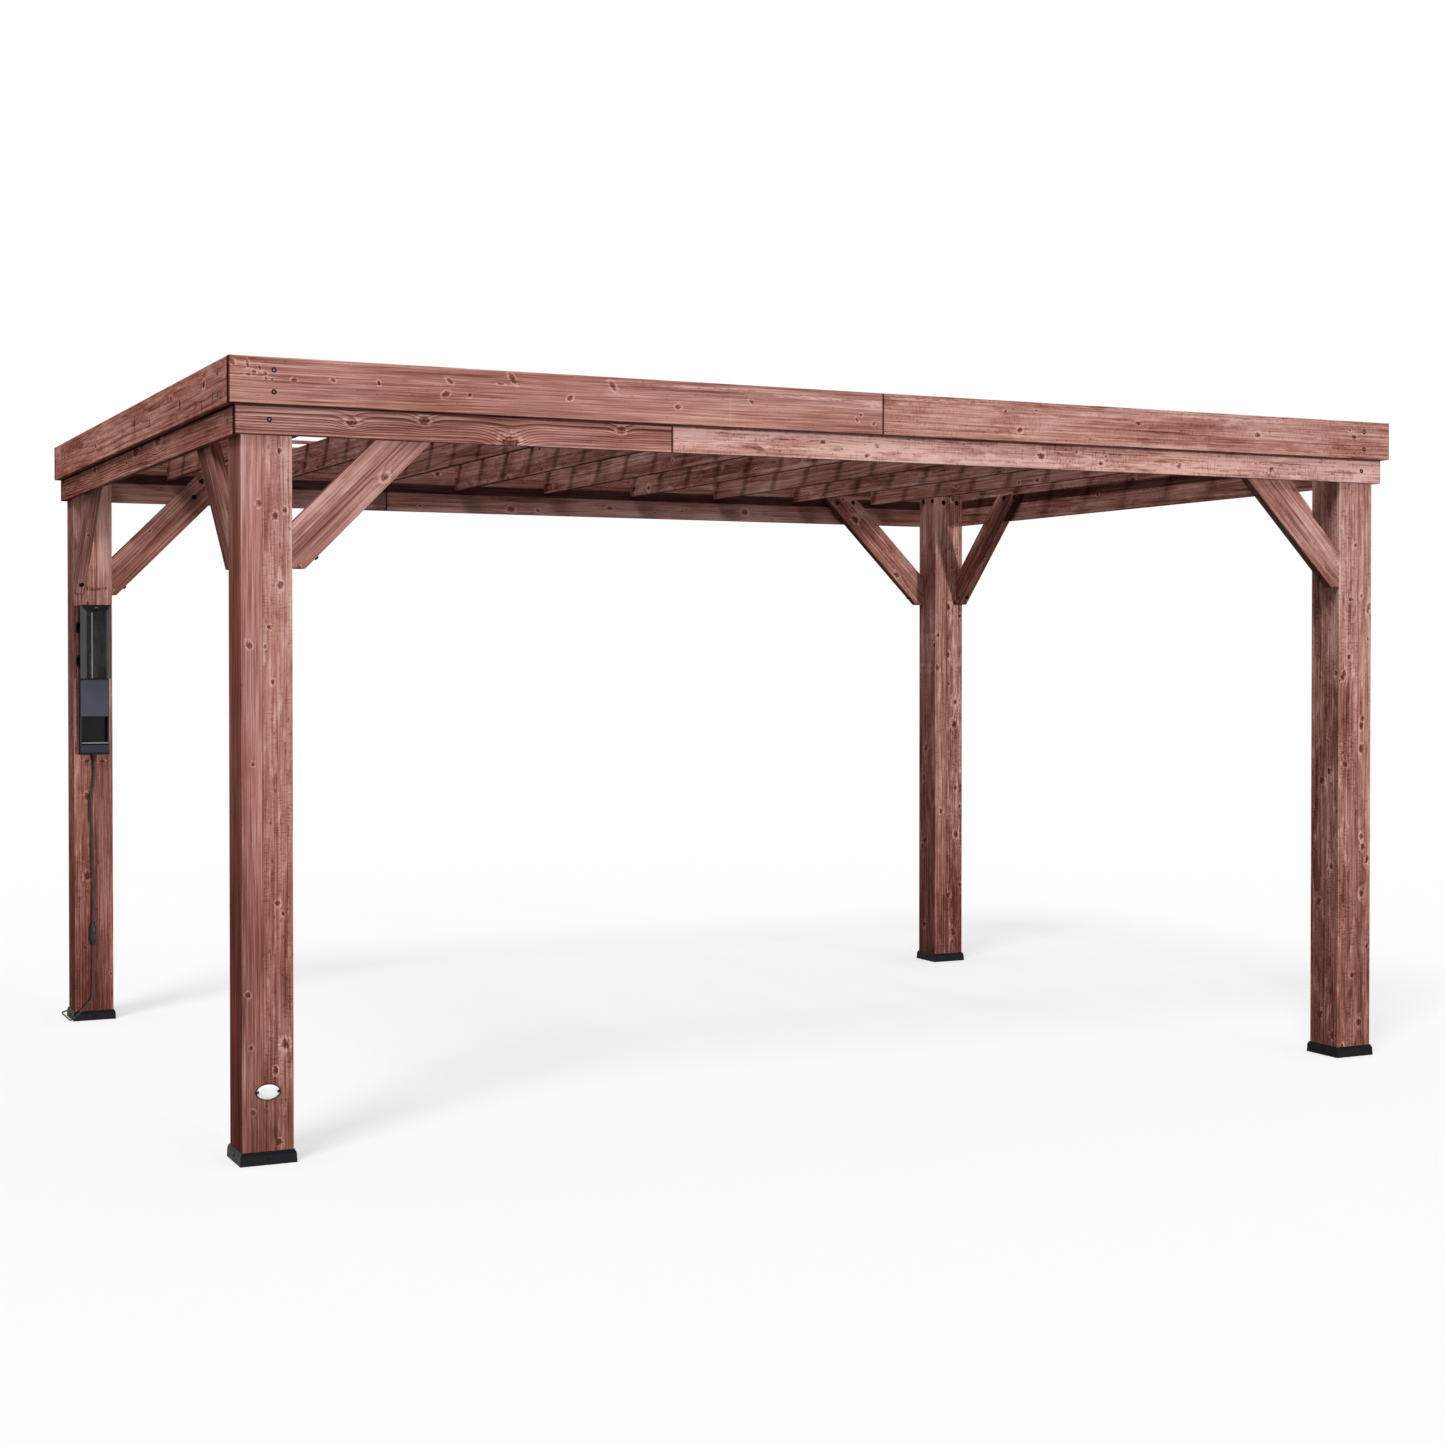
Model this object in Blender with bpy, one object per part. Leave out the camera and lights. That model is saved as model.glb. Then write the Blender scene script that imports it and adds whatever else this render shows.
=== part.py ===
"""Flat-roofed cedar pergola with a power unit on one post.

Metres, +Z up. X runs along the front from left to right, Y from front to back. The origin is
on the ground, at the centre of the roof's outline.
"""

import math

import bmesh
import bpy
from mathutils import Matrix, Vector

# Whole pergola, over the outside of its fascia boards
LENGTH = 4.02
DEPTH = 2.90
HEIGHT = 2.19

# Gap where one piece is seated on another
SEAT = 0.0003

# Posts: glued square section, with a plastic skirt round the foot
POST = 0.142
POST_ABOVE_BAND = 0.021
SKIRT_HIGH = 0.036
SKIRT_SHOULDER = 0.026
SKIRT_PROUD = 0.0065
SKIRT_FLARE = 0.0012
SKIRT_LIP = 0.0015

# Ring of boards round the post tops: lower band, rim on top of it, fascia over both
BOARD = 0.020
EASED = 0.0015
FASCIA_HIGH = 0.126
RIM_HIGH = 0.095
BAND_HIGH = 0.112
BAND_JOINT = -0.700
FASCIA_JOINT = 0.0

# Rafters on edge between the front and rear boards, slats flat on top of them
RAFTERS = 9
RAFTER_END_BAY = 0.389
RAFTER_THICK = 0.020
RAFTER_HIGH = 0.106
SLATS = 10
SLAT_WIDE = 0.038
SLAT_THICK = 0.010
SLAT_BITE = 0.001
FIRST_SLAT = 0.243
LAST_SLAT = 0.0744

# Knee braces at 45 degrees, with a level nip at the foot and a level cut at the head
BRACE_WIDE = 0.113
BRACE_THICK = 0.035
BRACE_HIGH = 0.472
BRACE_NIP = 0.036

# Power unit on the front of the rear left post, just below its brace. Its sizes across are
# measured from the middle of its own width, and it is built up from the top down
UNIT_OFF_CENTRE = -0.001
UNIT_WIDE = 0.107
UNIT_BELOW_BRACE = 0.046
BOX_DEEP = 0.022
BOX_BELOW_COVER_TOP = 0.0045
CHEEK_DEEP = 0.034
CHEEK_THICK = 0.005
PLATE_HIGH = 0.140
PLATE_INSET = 0.001
PLATE_THICK = 0.003
POCKET_HIGH = 0.097
POCKET_BACK = 0.010
LIP_HIGH = 0.0476
LIP_DEEP = 0.044
LIP_ROUND = 0.014
LIP_STEPS = 5

# Outlet panel under the cover: sunk outlet faces in a row
PANEL_WIDE = 0.086
PANEL_MARGIN = 0.0195
PANEL_DROP = 0.010
PANEL_THICK = 0.008
OUTLETS = 3
OUTLET_PITCH = 0.074
OUTLET_WIDE = 0.034
OUTLET_HIGH = 0.046
OUTLET_SUNK = 0.003

# Smoked cover: shell with a chamfer at the top and both sides, open at the back
COVER_WIDE = 0.1135
COVER_HIGH = 0.279
COVER_ABOVE_PLATE = 0.0045
COVER_DEEP = 0.055
COVER_SIDE_DEEP = 0.036
COVER_CHAMFER = 0.020
COVER_TOP_CHAMFER = 0.028
COVER_WALL = 0.003
COVER_CLEAR = 0.005
RIDGE_WIDE = 0.004
RIDGE_PROUD = 0.005
RIDGE_OFF = -0.018
CORD_NOTCH_WIDE = 0.050
CORD_NOTCH_DEEP = 0.014

# Hinges of the cover, on its left side
HINGE_OFF = 0.0065
HINGE_ABOVE_FOOT = 0.0645
HINGE_SPACING = 0.128
KNUCKLE_LONG = 0.030
KNUCKLE_RADIUS = 0.004
PIN_RADIUS = 0.002
PIN_CLEAR = 0.0004
EAR_LONG = 0.007
EAR_CLEAR = 0.0006
HINGE_SIDES = 16

# Supply lead of the power unit
GLAND_LONG = 0.024
GLAND_RADIUS = 0.008
GLAND_TIP = 0.0058
GLAND_FROM_POST = 0.013
CORD_X = 0.001
UPPER_DIAMETER = 0.009
LOWER_DIAMETER = 0.006
CONNECTOR_LONG = 0.0915
CONNECTOR_TOP = 0.3793
CONNECTOR_RADIUS = 0.0125
CONNECTOR_NECK = 0.0062
CONNECTOR_NECK_LONG = 0.027
CONNECTOR_LEFT = 0.006
CORD_BESIDE_SKIRT = 0.007
CORD_BEND = 0.028
CORD_SIDES = 16
COIL_LEFT = 0.0066
COIL_BEHIND = 0.0866
COIL_TURN_RADIUS = 0.033
COIL_TURNS_HIGH = 2
COIL_TURNS_WIDE = 3
COIL_SIDES = 32
COIL_ARC_BEFORE = 0.0366
COIL_ARC = math.radians(73.8)
COIL_ARC_STEPS = 4
PLUG_TAIL = 0.014
PLUG_ASIDE = 0.005
PLUG_NECK = 0.012
PLUG_LONG = 0.046
PLUG_WIDE = 0.030
PLUG_HIGH = 0.024
PLUG_PIN_LONG = 0.016
PLUG_PIN_HIGH = 0.0065
PLUG_PIN_THICK = 0.0016
PLUG_PIN_SPACING = 0.0127

# How finely the leads are drawn, and the edge angle up to which round pieces shade smooth
ROUTE_STEPS = 24
ROUTE_DIAMETERS = 2.5
SMOOTH_ANGLE = math.radians(40)

# Worked out from the sizes above
FASCIA_BACK = BOARD + SEAT
BAND_BACK = FASCIA_BACK + BOARD
POST_OUT = BAND_BACK + SEAT
POST_X = LENGTH / 2 - POST_OUT - POST / 2
POST_Y = DEPTH / 2 - POST_OUT - POST / 2
FASCIA_UNDERSIDE = HEIGHT - FASCIA_HIGH
RIM_UNDERSIDE = HEIGHT - RIM_HIGH
BAND_TOP = RIM_UNDERSIDE - SEAT
BAND_UNDERSIDE = BAND_TOP - BAND_HIGH
POST_TOP = BAND_TOP + POST_ABOVE_BAND
BRACE_FOOT = BAND_TOP - BRACE_HIGH
INSIDE_X = LENGTH / 2 - BAND_BACK
INSIDE_Y = DEPTH / 2 - BAND_BACK
RAFTER_PITCH = 2 * (INSIDE_X - RAFTER_END_BAY) / (RAFTERS - 1)
RAFTER_TOP = HEIGHT - SLAT_THICK
RAFTER_UNDERSIDE = RAFTER_TOP - RAFTER_HIGH
SLAT_PITCH = (2 * INSIDE_Y - FIRST_SLAT - LAST_SLAT) / (SLATS - 1)
UNIT_TOP = BRACE_FOOT - UNIT_BELOW_BRACE
COVER_FOOT = UNIT_TOP + BOX_BELOW_COVER_TOP - COVER_HIGH
CHEEK_TOP = COVER_FOOT - COVER_ABOVE_PLATE
PLATE_FOOT = CHEEK_TOP - PLATE_HIGH
POCKET_FOOT = PLATE_FOOT - POCKET_HIGH
UNIT_FOOT = POCKET_FOOT - LIP_HIGH
HINGE_HEIGHTS = (COVER_FOOT + HINGE_ABOVE_FOOT, COVER_FOOT + HINGE_ABOVE_FOOT + HINGE_SPACING)
COIL_X = -POST_X - COIL_LEFT
COIL_Y = POST_Y + POST / 2 + COIL_BEHIND
COIL_REACH = COIL_TURN_RADIUS + COIL_TURNS_WIDE * LOWER_DIAMETER / 2

CORNERS = {
    "front_left": (-1, -1),
    "front_right": (1, -1),
    "rear_left": (-1, 1),
    "rear_right": (1, 1),
}


def clear_scene():
    for thing in list(bpy.data.objects):
        bpy.data.objects.remove(thing, do_unlink=True)


def principled(name, colour, roughness, metallic=0.0, alpha=1.0):
    material = bpy.data.materials.new(name)
    material.use_nodes = True
    shader = material.node_tree.nodes["Principled BSDF"]
    shader.inputs["Base Color"].default_value = (*colour, 1.0)
    shader.inputs["Roughness"].default_value = roughness
    shader.inputs["Metallic"].default_value = metallic
    shader.inputs["Alpha"].default_value = alpha
    return material


def place(name, mesh, material, location=(0, 0, 0), parent=None):
    """Puts a mesh in the scene as one named piece."""
    mesh.materials.clear()
    mesh.materials.append(material)
    piece = bpy.data.objects.new(name, mesh)
    piece.location = location
    piece.parent = parent
    bpy.context.scene.collection.objects.link(piece)
    return piece


def mesh_from(shape, name):
    """Closes a bmesh into a mesh with its faces pointing out."""
    bmesh.ops.recalc_face_normals(shape, faces=shape.faces)
    mesh = bpy.data.meshes.new(name)
    shape.to_mesh(mesh)
    shape.free()
    return mesh


def box_mesh(name, size):
    shape = bmesh.new()
    bmesh.ops.create_cube(shape, size=1.0, matrix=Matrix.Diagonal((*size, 1.0)))
    return mesh_from(shape, name)


def prism_mesh(name, outline, thick, axes):
    """A flat outline, pushed out by its thickness. axes gives the three directions as vectors."""
    across, up, out = (Vector(axis) for axis in axes)
    shape = bmesh.new()
    corners = [shape.verts.new(across * u + up * v) for u, v in outline]
    face = shape.faces.new(corners)
    pushed = bmesh.ops.extrude_face_region(shape, geom=[face])
    moved = [item for item in pushed["geom"] if isinstance(item, bmesh.types.BMVert)]
    bmesh.ops.translate(shape, verts=moved, vec=out * thick)
    return mesh_from(shape, name)


def loft_mesh(name, loops):
    """A closed form that runs through four-cornered sections."""
    shape = bmesh.new()
    rings = [[shape.verts.new(corner) for corner in loop] for loop in loops]
    for first, second in zip(rings, rings[1:]):
        for i in range(4):
            j = (i + 1) % 4
            shape.faces.new((first[i], first[j], second[j], second[i]))
    shape.faces.new(rings[0])
    shape.faces.new(rings[-1])
    return mesh_from(shape, name)


def rod_mesh(name, radius, length, axis="Z", sides=HINGE_SIDES, tip=None):
    """A round bar centred on its own middle. tip is the radius at its lower end."""
    shape = bmesh.new()
    low = radius if tip is None else tip
    bmesh.ops.create_cone(
        shape, cap_ends=True, segments=sides, radius1=low, radius2=radius, depth=length
    )
    if axis == "X":
        turn = Matrix.Rotation(math.pi / 2, 3, "Y")
        bmesh.ops.rotate(shape, verts=shape.verts, matrix=turn)
    if axis == "Y":
        turn = Matrix.Rotation(math.pi / 2, 3, "X")
        bmesh.ops.rotate(shape, verts=shape.verts, matrix=turn)
    mesh = mesh_from(shape, name)
    mesh.shade_smooth()
    mesh.set_sharp_from_angle(angle=SMOOTH_ANGLE)
    return mesh


def helper(name, mesh, location=(0, 0, 0), parent=None):
    """A shape that only cuts or joins another one."""
    tool = bpy.data.objects.new(name, mesh)
    tool.location = location
    tool.parent = parent
    tool.hide_render = True
    tool.display_type = "WIRE"
    bpy.context.scene.collection.objects.link(tool)
    return tool


def combine(piece, tool, operation):
    change = piece.modifiers.new(tool.name, "BOOLEAN")
    change.operation = operation
    change.solver = "EXACT"
    change.object = tool


def ease(piece, width=EASED):
    """Takes the sharp edge off a sawn or moulded piece."""
    soft = piece.modifiers.new("eased_edges", "BEVEL")
    soft.width = width
    soft.segments = 1
    soft.limit_method = "ANGLE"


def board(name, low, high, material):
    """A planed board between two opposite corners."""
    size = [high[i] - low[i] for i in range(3)]
    middle = [(high[i] + low[i]) / 2 for i in range(3)]
    piece = place(name, box_mesh(name, size), material, middle)
    ease(piece)
    return piece


def make_posts(cedar):
    for corner, (side, end) in CORNERS.items():
        low = (side * POST_X - POST / 2, end * POST_Y - POST / 2, 0)
        high = (side * POST_X + POST / 2, end * POST_Y + POST / 2, POST_TOP)
        board(corner + "_post", low, high, cedar)


def square_loop(shape, half, height):
    signs = ((-1, -1), (1, -1), (1, 1), (-1, 1))
    return [shape.verts.new((half * x, half * y, height)) for x, y in signs]


def make_skirts(plastic):
    """A moulded skirt: a square ring whose top slopes in to the post."""
    inner = POST / 2 + SEAT
    outer = POST / 2 + SKIRT_PROUD
    for corner, (side, end) in CORNERS.items():
        shape = bmesh.new()
        loops = [
            square_loop(shape, outer + SKIRT_FLARE, 0),
            square_loop(shape, outer, SKIRT_SHOULDER),
            square_loop(shape, inner + SKIRT_LIP, SKIRT_HIGH),
            square_loop(shape, inner, SKIRT_HIGH),
            square_loop(shape, inner, 0),
        ]
        for first, second in zip(loops, loops[1:] + loops[:1]):
            for i in range(4):
                j = (i + 1) % 4
                shape.faces.new((first[i], first[j], second[j], second[i]))
        mesh = mesh_from(shape, corner + "_skirt")
        place(corner + "_skirt", mesh, plastic, (side * POST_X, end * POST_Y, 0))


def ring_of_boards(kind, out, thick, low, high, joint, material):
    """Four sides of the roof ring. The front and rear boards run over the ends of the side ones.

    out is how far the boards' outer faces lie inside the outline, and joint is where the two
    boards of a long side meet, or None where one board runs through.
    """
    far_x = LENGTH / 2 - out
    far_y = DEPTH / 2 - out
    for end, sign in (("front", -1), ("rear", 1)):
        faces = sorted((sign * far_y, sign * (far_y - thick)))
        if joint is None:
            runs = {"": (-far_x, far_x)}
        else:
            runs = {
                "_left": (-far_x, joint - SEAT / 2),
                "_right": (joint + SEAT / 2, far_x),
            }
        for half, (start, stop) in runs.items():
            name = f"{end}_{kind}{half}"
            board(name, (start, faces[0], low), (stop, faces[1], high), material)
    side_end = far_y - thick - SEAT
    for side, sign in (("left", -1), ("right", 1)):
        faces = sorted((sign * far_x, sign * (far_x - thick)))
        start = (faces[0], -side_end, low)
        board(f"{side}_{kind}", start, (faces[1], side_end, high), material)


def make_ring(cedar):
    ring_of_boards("band", FASCIA_BACK, BOARD, BAND_UNDERSIDE, BAND_TOP, BAND_JOINT, cedar)
    ring_of_boards("rim", FASCIA_BACK, BOARD, RIM_UNDERSIDE, HEIGHT, None, cedar)
    ring_of_boards("fascia", 0, BOARD, FASCIA_UNDERSIDE, HEIGHT, FASCIA_JOINT, cedar)


def make_roof(cedar):
    """Rafters on edge, and the slats that the middle rafter carries along its top."""
    reach = INSIDE_Y - SEAT
    middle = RAFTERS // 2
    for number in range(RAFTERS):
        x = (number - middle) * RAFTER_PITCH
        low = (x - RAFTER_THICK / 2, -reach, RAFTER_UNDERSIDE)
        high = (x + RAFTER_THICK / 2, reach, RAFTER_TOP - SEAT)
        if number != middle:
            board(f"rafter_{number + 1}", low, high, cedar)
            continue
        size = (RAFTER_THICK, 2 * reach, RAFTER_HIGH + SLAT_BITE)
        centre = (x, 0, RAFTER_UNDERSIDE + size[2] / 2)
        carrier = place("middle_rafter_and_slats", box_mesh("middle_rafter", size), cedar, centre)
    ease(carrier)
    slat_size = (2 * (INSIDE_X - SEAT), SLAT_WIDE, SLAT_THICK)
    for number in range(SLATS):
        y = -INSIDE_Y + FIRST_SLAT + number * SLAT_PITCH
        height = RAFTER_TOP + SLAT_THICK / 2
        slat = helper(f"slat_{number + 1}", box_mesh("slat", slat_size), (0, y, height))
        combine(carrier, slat, "UNION")


def make_braces(cedar):
    """Two braces to a post, flush with its outer faces: one along X and one along Y."""
    rise = BAND_TOP - BRACE_FOOT
    upper = BRACE_WIDE * math.sqrt(2) - BRACE_NIP
    outline = [
        (SEAT, 0),
        (BRACE_NIP, 0),
        (BRACE_NIP + rise, rise),
        (rise - upper, rise),
        (SEAT, upper + SEAT),
    ]
    for corner, (side, end) in CORNERS.items():
        outside = (side * (POST_X + POST / 2), end * (POST_Y + POST / 2))
        inside = (side * (POST_X - POST / 2), end * (POST_Y - POST / 2))
        along = prism_mesh(
            "brace", outline, BRACE_THICK, ((-side, 0, 0), (0, 0, 1), (0, -end, 0))
        )
        name = corner + "_long_brace"
        ease(place(name, along, cedar, (inside[0], outside[1], BRACE_FOOT)))
        across = prism_mesh(
            "brace", outline, BRACE_THICK, ((0, -end, 0), (0, 0, 1), (-side, 0, 0))
        )
        name = corner + "_side_brace"
        ease(place(name, across, cedar, (outside[0], inside[1], BRACE_FOOT)))


def lip_profile():
    """Side outline of the power unit's box: depth from the post, then height."""
    front = []
    for step in range(LIP_STEPS + 1):
        angle = math.pi / 2 * step / LIP_STEPS
        depth = LIP_DEEP - LIP_ROUND + LIP_ROUND * math.sin(angle)
        front.append((depth, UNIT_FOOT + LIP_ROUND - LIP_ROUND * math.cos(angle)))
    return [
        (SEAT, UNIT_FOOT),
        *front,
        (LIP_DEEP, POCKET_FOOT),
        (CHEEK_DEEP, POCKET_FOOT),
        (CHEEK_DEEP, CHEEK_TOP),
        (BOX_DEEP, CHEEK_TOP),
        (BOX_DEEP, UNIT_TOP),
        (SEAT, UNIT_TOP),
    ]


def hinge_axis():
    """Place of the cover's hinge line in the unit's own frame."""
    return -COVER_WIDE / 2 - HINGE_OFF, -(BOX_DEEP + COVER_CLEAR)


def make_power_box(plastic, unit):
    """The unit's box with its phone pocket, and the fixed half of the cover's two hinges."""
    mesh = prism_mesh(
        "power_box", lip_profile(), UNIT_WIDE, ((0, -1, 0), (0, 0, 1), (1, 0, 0))
    )
    box = place("power_box", mesh, plastic, (-UNIT_WIDE / 2, 0, 0), unit)
    pocket_size = (UNIT_WIDE - 2 * CHEEK_THICK, LIP_DEEP, POCKET_HIGH)
    pocket_place = (0, -POCKET_BACK - LIP_DEEP / 2, POCKET_FOOT + POCKET_HIGH / 2)
    combine(box, helper("pocket", box_mesh("pocket", pocket_size), pocket_place, unit), "DIFFERENCE")
    axis_x, axis_y = hinge_axis()
    for height in HINGE_HEIGHTS:
        arm_size = (-axis_x - UNIT_WIDE / 2 + 2 * KNUCKLE_RADIUS, KNUCKLE_RADIUS, KNUCKLE_LONG)
        arm_x = axis_x - KNUCKLE_RADIUS / 2 + arm_size[0] / 2
        arm_y = -BOX_DEEP + KNUCKLE_RADIUS / 2 + SEAT
        arm = helper("hinge_arm", box_mesh("hinge_arm", arm_size), (arm_x, arm_y, height), unit)
        combine(box, arm, "UNION")
        post_size = (KNUCKLE_RADIUS, COVER_CLEAR + KNUCKLE_RADIUS, KNUCKLE_LONG)
        post_y = axis_y + post_size[1] / 2
        riser = helper("hinge_riser", box_mesh("riser", post_size), (axis_x, post_y, height), unit)
        combine(box, riser, "UNION")
        knuckle = rod_mesh("knuckle", KNUCKLE_RADIUS, KNUCKLE_LONG)
        combine(box, helper("knuckle", knuckle, (axis_x, axis_y, height), unit), "UNION")
        pin_long = KNUCKLE_LONG + 2 * (EAR_LONG + EAR_CLEAR)
        pin = rod_mesh("pin", PIN_RADIUS, pin_long)
        combine(box, helper("pin", pin, (axis_x, axis_y, height), unit), "UNION")


def make_power_plate(plastic, unit):
    size = (UNIT_WIDE - 2 * PLATE_INSET, PLATE_THICK, PLATE_HIGH)
    mesh = box_mesh("power_plate", size)
    middle = (0, -CHEEK_DEEP - SEAT - PLATE_THICK / 2, PLATE_FOOT + PLATE_HIGH / 2)
    ease(place("power_plate", mesh, plastic, middle, unit))


def make_outlet_panel(plastic, unit):
    middle_z = COVER_FOOT + COVER_HIGH / 2 - PANEL_DROP
    size = (PANEL_WIDE, PANEL_THICK, COVER_HIGH - 2 * PANEL_MARGIN)
    mesh = box_mesh("outlet_panel", size)
    middle = (0, -BOX_DEEP - SEAT - PANEL_THICK / 2, middle_z)
    panel = place("outlet_panel", mesh, plastic, middle, unit)
    face = middle[1] - PANEL_THICK / 2
    for number in range(OUTLETS):
        height = middle_z + (number - (OUTLETS - 1) / 2) * OUTLET_PITCH
        size = (OUTLET_WIDE, 2 * OUTLET_SUNK, OUTLET_HIGH)
        sunk = helper("outlet", box_mesh("outlet", size), (0, face, height), unit)
        combine(panel, sunk, "DIFFERENCE")
    ease(panel)


def cover_form(name, shrink, back):
    """The cover's outer form, or its hollow when shrunk. back is how far it runs past the rim."""
    half = COVER_WIDE / 2 - shrink
    low = shrink
    high = COVER_HIGH - shrink
    front_half = COVER_WIDE / 2 - COVER_CHAMFER - shrink / 2
    front_high = COVER_HIGH - COVER_TOP_CHAMFER - shrink / 2
    depths = (back, -COVER_SIDE_DEEP + shrink / 2, -COVER_DEEP + shrink)
    sections = (
        (half, low, high, depths[0]),
        (half, low, high, depths[1]),
        (front_half, low, front_high, depths[2]),
    )
    loops = []
    for wide, foot, top, y in sections:
        corners = ((-wide, foot), (wide, foot), (wide, top), (-wide, top))
        loops.append([(x, y, z) for x, z in corners])
    return loft_mesh(name, loops)


def make_cover(smoked, unit):
    """The clear cover, hung on the two hinges at its left and held in the frame of its hinge."""
    axis_x, axis_y = hinge_axis()
    hinge = bpy.data.objects.new("cover_hinge", None)
    hinge.location = (axis_x, axis_y, 0)
    hinge.parent = unit
    bpy.context.scene.collection.objects.link(hinge)
    foot = (-axis_x, 0, COVER_FOOT)
    cover = place("power_cover", cover_form("power_cover", 0, 0), smoked, foot, hinge)
    hollow = cover_form("hollow", COVER_WALL, COVER_WALL)
    combine(cover, helper("hollow", hollow, foot, hinge), "DIFFERENCE")
    notch_size = (CORD_NOTCH_WIDE, 2 * CORD_NOTCH_DEEP, 4 * COVER_WALL)
    notch = helper("cord_notch", box_mesh("cord_notch", notch_size), foot, hinge)
    combine(cover, notch, "DIFFERENCE")
    ridge_high = COVER_HIGH - COVER_TOP_CHAMFER - 2 * EASED
    ridge_size = (RIDGE_WIDE, RIDGE_PROUD + COVER_WALL / 2, ridge_high)
    ridge_y = -COVER_DEEP - RIDGE_PROUD / 2 + COVER_WALL / 4
    ridge_place = (foot[0] + RIDGE_OFF, ridge_y, COVER_FOOT + EASED + ridge_high / 2)
    combine(cover, helper("ridge", box_mesh("ridge", ridge_size), ridge_place, hinge), "UNION")
    make_cover_ears(cover, hinge)
    return cover


def make_cover_ears(cover, hinge):
    """Ears above and below each fixed knuckle, bored to turn on the pin."""
    wall_reach = HINGE_OFF + COVER_WALL / 2
    for height in HINGE_HEIGHTS:
        for way in (-1, 1):
            z = height + way * (KNUCKLE_LONG / 2 + EAR_CLEAR + EAR_LONG / 2)
            strap_size = (wall_reach, KNUCKLE_RADIUS - 2 * SEAT, EAR_LONG - 2 * SEAT)
            strap_place = (wall_reach / 2, -KNUCKLE_RADIUS / 2, z)
            strap = helper("strap", box_mesh("strap", strap_size), strap_place, hinge)
            combine(cover, strap, "UNION")
            ear = rod_mesh("ear", KNUCKLE_RADIUS, EAR_LONG)
            combine(cover, helper("ear", ear, (0, 0, z), hinge), "UNION")
            bore = rod_mesh("bore", PIN_RADIUS + PIN_CLEAR, 2 * EAR_LONG)
            combine(cover, helper("bore", bore, (0, 0, z), hinge), "DIFFERENCE")


def curve_point(a, b, c, d, t):
    """A point between b and c on the smooth curve through four route points."""
    bend = (2 * a - 5 * b + 4 * c - d) * t**2 + (3 * b - a - 3 * c + d) * t**3
    return (2 * b + (c - a) * t + bend) / 2


def smooth_route(points, spacing):
    """Points at an even spacing along a smooth curve through the route's own points."""
    route = [Vector(point) for point in points]
    ends = [2 * route[0] - route[1], *route, 2 * route[-1] - route[-2]]
    dense = []
    for stretch in zip(ends, ends[1:], ends[2:], ends[3:]):
        dense += [curve_point(*stretch, step / ROUTE_STEPS) for step in range(ROUTE_STEPS)]
    dense.append(route[-1])
    length = sum((q - p).length for p, q in zip(dense, dense[1:]))
    count = max(2, round(length / spacing))
    wanted = [length * i / count for i in range(count + 1)]
    even = [dense[0]]
    walked = 0.0
    for p, q in zip(dense, dense[1:]):
        step = (q - p).length
        while len(even) < count and walked + step >= wanted[len(even)]:
            even.append(p.lerp(q, (wanted[len(even)] - walked) / step))
        walked += step
    return [*even, dense[-1]]


def make_lead(name, points, diameter, material):
    curve = bpy.data.curves.new(name, "CURVE")
    curve.dimensions = "3D"
    curve.bevel_depth = diameter / 2
    curve.bevel_resolution = 2
    curve.use_fill_caps = True
    even = smooth_route(points, ROUTE_DIAMETERS * diameter)
    spline = curve.splines.new("POLY")
    spline.points.add(len(even) - 1)
    lowest = diameter / 2 + SEAT
    for point, (x, y, z) in zip(spline.points, even):
        point.co = (x, y, max(z, lowest), 1.0)
    curve.materials.append(material)
    lead = bpy.data.objects.new(name, curve)
    bpy.context.scene.collection.objects.link(lead)


def turned_mesh(name, profile, sides, hollow):
    """An outline of radius and height turned about Z: a closed ring if hollow, else capped."""
    shape = bmesh.new()
    rings = []
    for radius, height in profile:
        turn = [2 * math.pi * step / sides for step in range(sides)]
        places = [(radius * math.cos(angle), radius * math.sin(angle), height) for angle in turn]
        rings.append([shape.verts.new(place) for place in places])
    after = rings[1:] + rings[:1] if hollow else rings[1:]
    for first, second in zip(rings, after):
        for i in range(sides):
            j = (i + 1) % sides
            shape.faces.new((first[i], first[j], second[j], second[i]))
    if not hollow:
        shape.faces.new(rings[0])
        shape.faces.new(rings[-1])
    mesh = mesh_from(shape, name)
    mesh.shade_smooth()
    mesh.set_sharp_from_angle(angle=SMOOTH_ANGLE)
    return mesh


def upper_route(start, hang):
    """The heavy lead hangs from the gland with the slight set that it took in its box."""
    x, y, top = start
    drop = top - hang[2]
    return [
        start,
        (x - 0.001, y, top - 0.10 * drop),
        (x - 0.013, y - 0.004, top - 0.26 * drop),
        (x - 0.010, y - 0.004, top - 0.42 * drop),
        (x - 0.007, y - 0.002, top - 0.61 * drop),
        (x - 0.006, y, top - 0.80 * drop),
        hang,
    ]


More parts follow.
